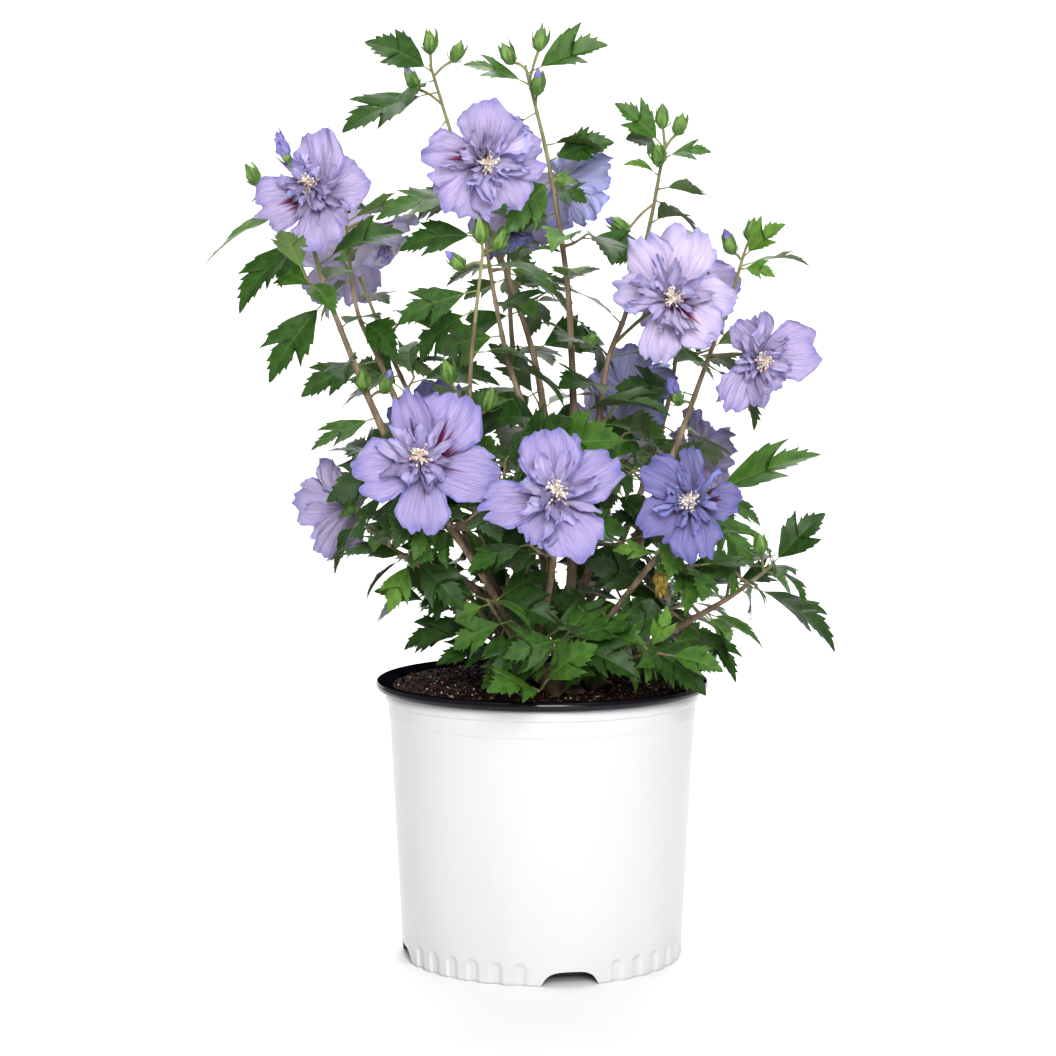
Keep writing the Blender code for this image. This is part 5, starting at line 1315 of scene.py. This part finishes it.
def makeBloom(petals, parts, entry, order):
    centre, face, width = flat(entry[2]), unit(flat(entry[3])), entry[4]
    shade, opening = entry[6:]
    dice = random.Random("bloom %d" % order)
    names = list(bloom["shades"])
    side = unit(np.cross((0, 0, 1), face))
    across = np.cross(face, side)
    main = names.index(shade)
    inner = names.index("tuftBlue" if shade in ("blue", "old") else "tuftLavender")
    for count, (turn, reach, half) in enumerate(petalSets[entry[5]]):
        turn = math.radians(turn)
        outward = math.cos(turn) * side + math.sin(turn) * across
        start = centre - face * 0.11 * width + outward * 0.035 * width
        spread = (1 - opening) * 34
        leans = (bloom["lean"][0] + spread * 0.5 + dice.uniform(-4, 4),
                 bloom["lean"][1] + spread + dice.uniform(-16, 12))
        petal(petals, start, outward, face, (reach - 0.045) / 0.90 * width, 1.14 * half * width, leans, dice, main,
              bloom["rows"], bloom["columns"], claw=0.22, blunt=dice.uniform(0.12, 0.26),
              cup=dice.uniform(-0.10, 0.14), roll=0.10 + dice.uniform(-0.16, 0.16), fold=0.042, ruffle=0.058,
              widest=dice.uniform(0.68, 0.86), notches=dice.randint(1, 3), eye=count in bloom["eyes"][entry[5]])
    middle = (side * dice.uniform(-0.05, 0.05) + across * dice.uniform(-0.05, 0.05)) * width
    for count, length, half, leans in bloom["tuft"]:
        start = dice.uniform(0, math.tau)
        for k in range(count):
            turn = start + math.tau * (k + dice.uniform(-0.35, 0.35)) / count
            outward = math.cos(turn) * side + math.sin(turn) * across
            base = centre + face * width * (0.01 - 0.05 * (length > 0.33)) + outward * 0.02 * width + 0.5 * middle
            lean = (leans[0] + dice.uniform(-12, 8), leans[1] + dice.uniform(-26, 26))
            petal(petals, base, outward, face, length * width * dice.uniform(0.62, 1.18),
                  half * width * dice.uniform(0.5, 1.2), lean, dice, inner if dice.random() < 0.85 else main,
                  15, 13, claw=0.24, blunt=dice.uniform(0.1, 0.4), cup=dice.uniform(-0.30, 0.45),
                  roll=dice.uniform(-0.9, 0.9), fold=0.035, ruffle=0.055, widest=dice.uniform(0.60, 0.84), notches=1)
    for k in range(12):                                      # pale frill among the stamens
        turn = dice.uniform(0, math.tau)
        outward = math.cos(turn) * side + math.sin(turn) * across
        base = centre + face * width * dice.uniform(0.05, 0.16) + middle
        petal(parts, base, outward, face, dice.uniform(0.06, 0.12) * width, dice.uniform(0.008, 0.02) * width,
              (dice.uniform(40, 80), dice.uniform(-10, 60)), dice, 0, 7, 5, fold=0.06, ruffle=0.10)
    column = [centre + face * width * s + middle * (0.5 + 2 * s) for s in np.linspace(-0.05, 0.20, 7)]
    rod(parts, column, np.linspace(0.0018, 0.0010, 7), 7, 0)
    for k in range(46):
        turn, level = dice.uniform(0, math.tau), dice.uniform(0.10, 0.26)
        outward = math.cos(turn) * side + math.sin(turn) * across
        reach = dice.uniform(0.01, 0.085) * (1.3 - 3 * (level - 0.10))
        foot = centre + face * width * (level - 0.04) + middle
        head = foot + width * (face * 0.04 + outward * reach)
        rod(parts, [foot, 0.5 * (foot + head) + face * 0.0004, head], [0.00030] * 3, 4, 0)
        grain(parts, head, dice.uniform(0.0006, 0.0012), 0 if dice.random() < 0.70 else 1)
    cup = centre - face * 0.185 * width
    pod(parts, cup, cup + face * 0.14 * width, 0.060 * width, 2, fullness=0.6)
    bracts(parts, cup + face * 0.01 * width, face, 5, 0.20 * width, 0.050 * width, (52, 30), dice, 2, 8)
    bracts(parts, cup, face, 7, 0.15 * width, 0.010 * width, (30, 5), dice, 2)


def makeFlowers():
    shades = bloom["shades"]
    materials = [petalMaterial("petal" + name[0].upper() + name[1:], *values,
                               eye=0.04 if name.startswith("tuft") else 0.56,
                               veins=16.0 if name.startswith("tuft") else 46.0) for name, values in shades.items()]
    cream = mottledMaterial("stamenCream", bloom["cream"], (0.84, 0.80, 0.74), 0.6, 500.0)
    peach = mottledMaterial("stamenPeach", bloom["peach"], (0.78, 0.50, 0.36), 0.6, 500.0)
    sepal = mottledMaterial("sepalGreen", bloom["sepalDark"], bloom["sepalLight"], 0.55, 160.0, 0.4)
    blue = mottledMaterial("budPetal", (0.09, 0.09, 0.34), (0.28, 0.24, 0.56), 0.6, 300.0, 0.3)
    straw = mottledMaterial("witheredPetal", (0.30, 0.17, 0.03), (0.68, 0.50, 0.10), 0.8, 220.0)
    halves = [Heap("frontPetals", materials, "petalMap"), Heap("rearPetals", materials, "petalMap")]
    parts = Heap("flowerParts", [cream, peach, sepal])
    for order, entry in enumerate(keptBlooms):
        makeBloom(halves[int(entry[2][1] > 0.02)], parts, entry, order)
    for heap in halves:
        heap.build("foliage", leafNodes)
    parts.build("foliage", leafNodes)
    budParts = Heap("budParts", [sepal, blue, straw])
    for order, entry in enumerate(keptBuds):
        dice = random.Random("bud %d" % order)
        centre, way = flat(entry[2]), flat(budWay(entry))
        size = dice.uniform(0.88, 1.08)
        pod(budParts, centre - way * 0.0085 * size, centre + way * 0.0130 * size, 0.0060 * size, 0, depth=0.34,
            point=1.15)
        bracts(budParts, centre - way * 0.0070, way, 5, 0.0215 * size, 0.0036, (42, 112), dice, 0, 9)
        bracts(budParts, centre - way * 0.0080, way, 8, 0.0155 * size, 0.0011, (22, 68), dice, 0)
        if entry[3] != "green":
            long = 0.022 if entry[3] == "furled" else 0.0155
            wide = 0.0062 if entry[3] == "furled" else 0.0034
            pod(budParts, centre + way * 0.002, centre + way * long, wide, 1, depth=0.25, fullness=0.5,
                crumple=0.06, dice=dice)
    for kind, (foot, centre, way) in extras.items():
        dice, slot = random.Random(kind), 1 if kind == "furled" else 2
        centre, way = np.array(centre), unit(np.array(way))
        rod(budParts, [flat(foot), centre - way * 0.006], [0.0009, 0.0013], 6, 0)
        pod(budParts, centre - way * 0.008, centre + way * 0.004, 0.0042, 0, depth=0.2)
        pod(budParts, centre - way * 0.004, centre + way * 0.013, 0.0062, slot, depth=0.3, crumple=0.12, dice=dice)
        bracts(budParts, centre - way * 0.001, way, 6, 0.0200, 0.0050, (84, 66), dice, slot, 12)
        bracts(budParts, centre - way * 0.006, way, 5, 0.0130, 0.0030, (60, 84), dice, 0, 8)
    budParts.build("foliage", leafNodes)


def makeStudio():
    floor = Heap("studioFloor", [mottledMaterial("studioWhite", (0.86, 0.86, 0.865), (0.88, 0.88, 0.885), 0.9, 3.0,
                                                 relief=0.0, specular=0.1)])
    rows = [(-2.0, 0.0), (-1.0, 0.0), (1.0, 0.0), (2.2, 0.0)]
    rows += [(2.2 + 1.0 * math.sin(t), 1.0 - 1.0 * math.cos(t)) for t in np.linspace(0.1, math.pi / 2, 14)]
    rows += [(3.2, 2.0), (3.2, 3.6)]
    across = np.linspace(-2.4, 2.4, 5)
    floor.sheet(np.array([[(x, y, z - 0.0003) for x in across] for y, z in rows]))
    floor.build()


setPortrait()
makeStudio()
growShrub()
makePot()
makeLip()
makeSoil()
makeStems()
makeLeaves()
makeFlowers()
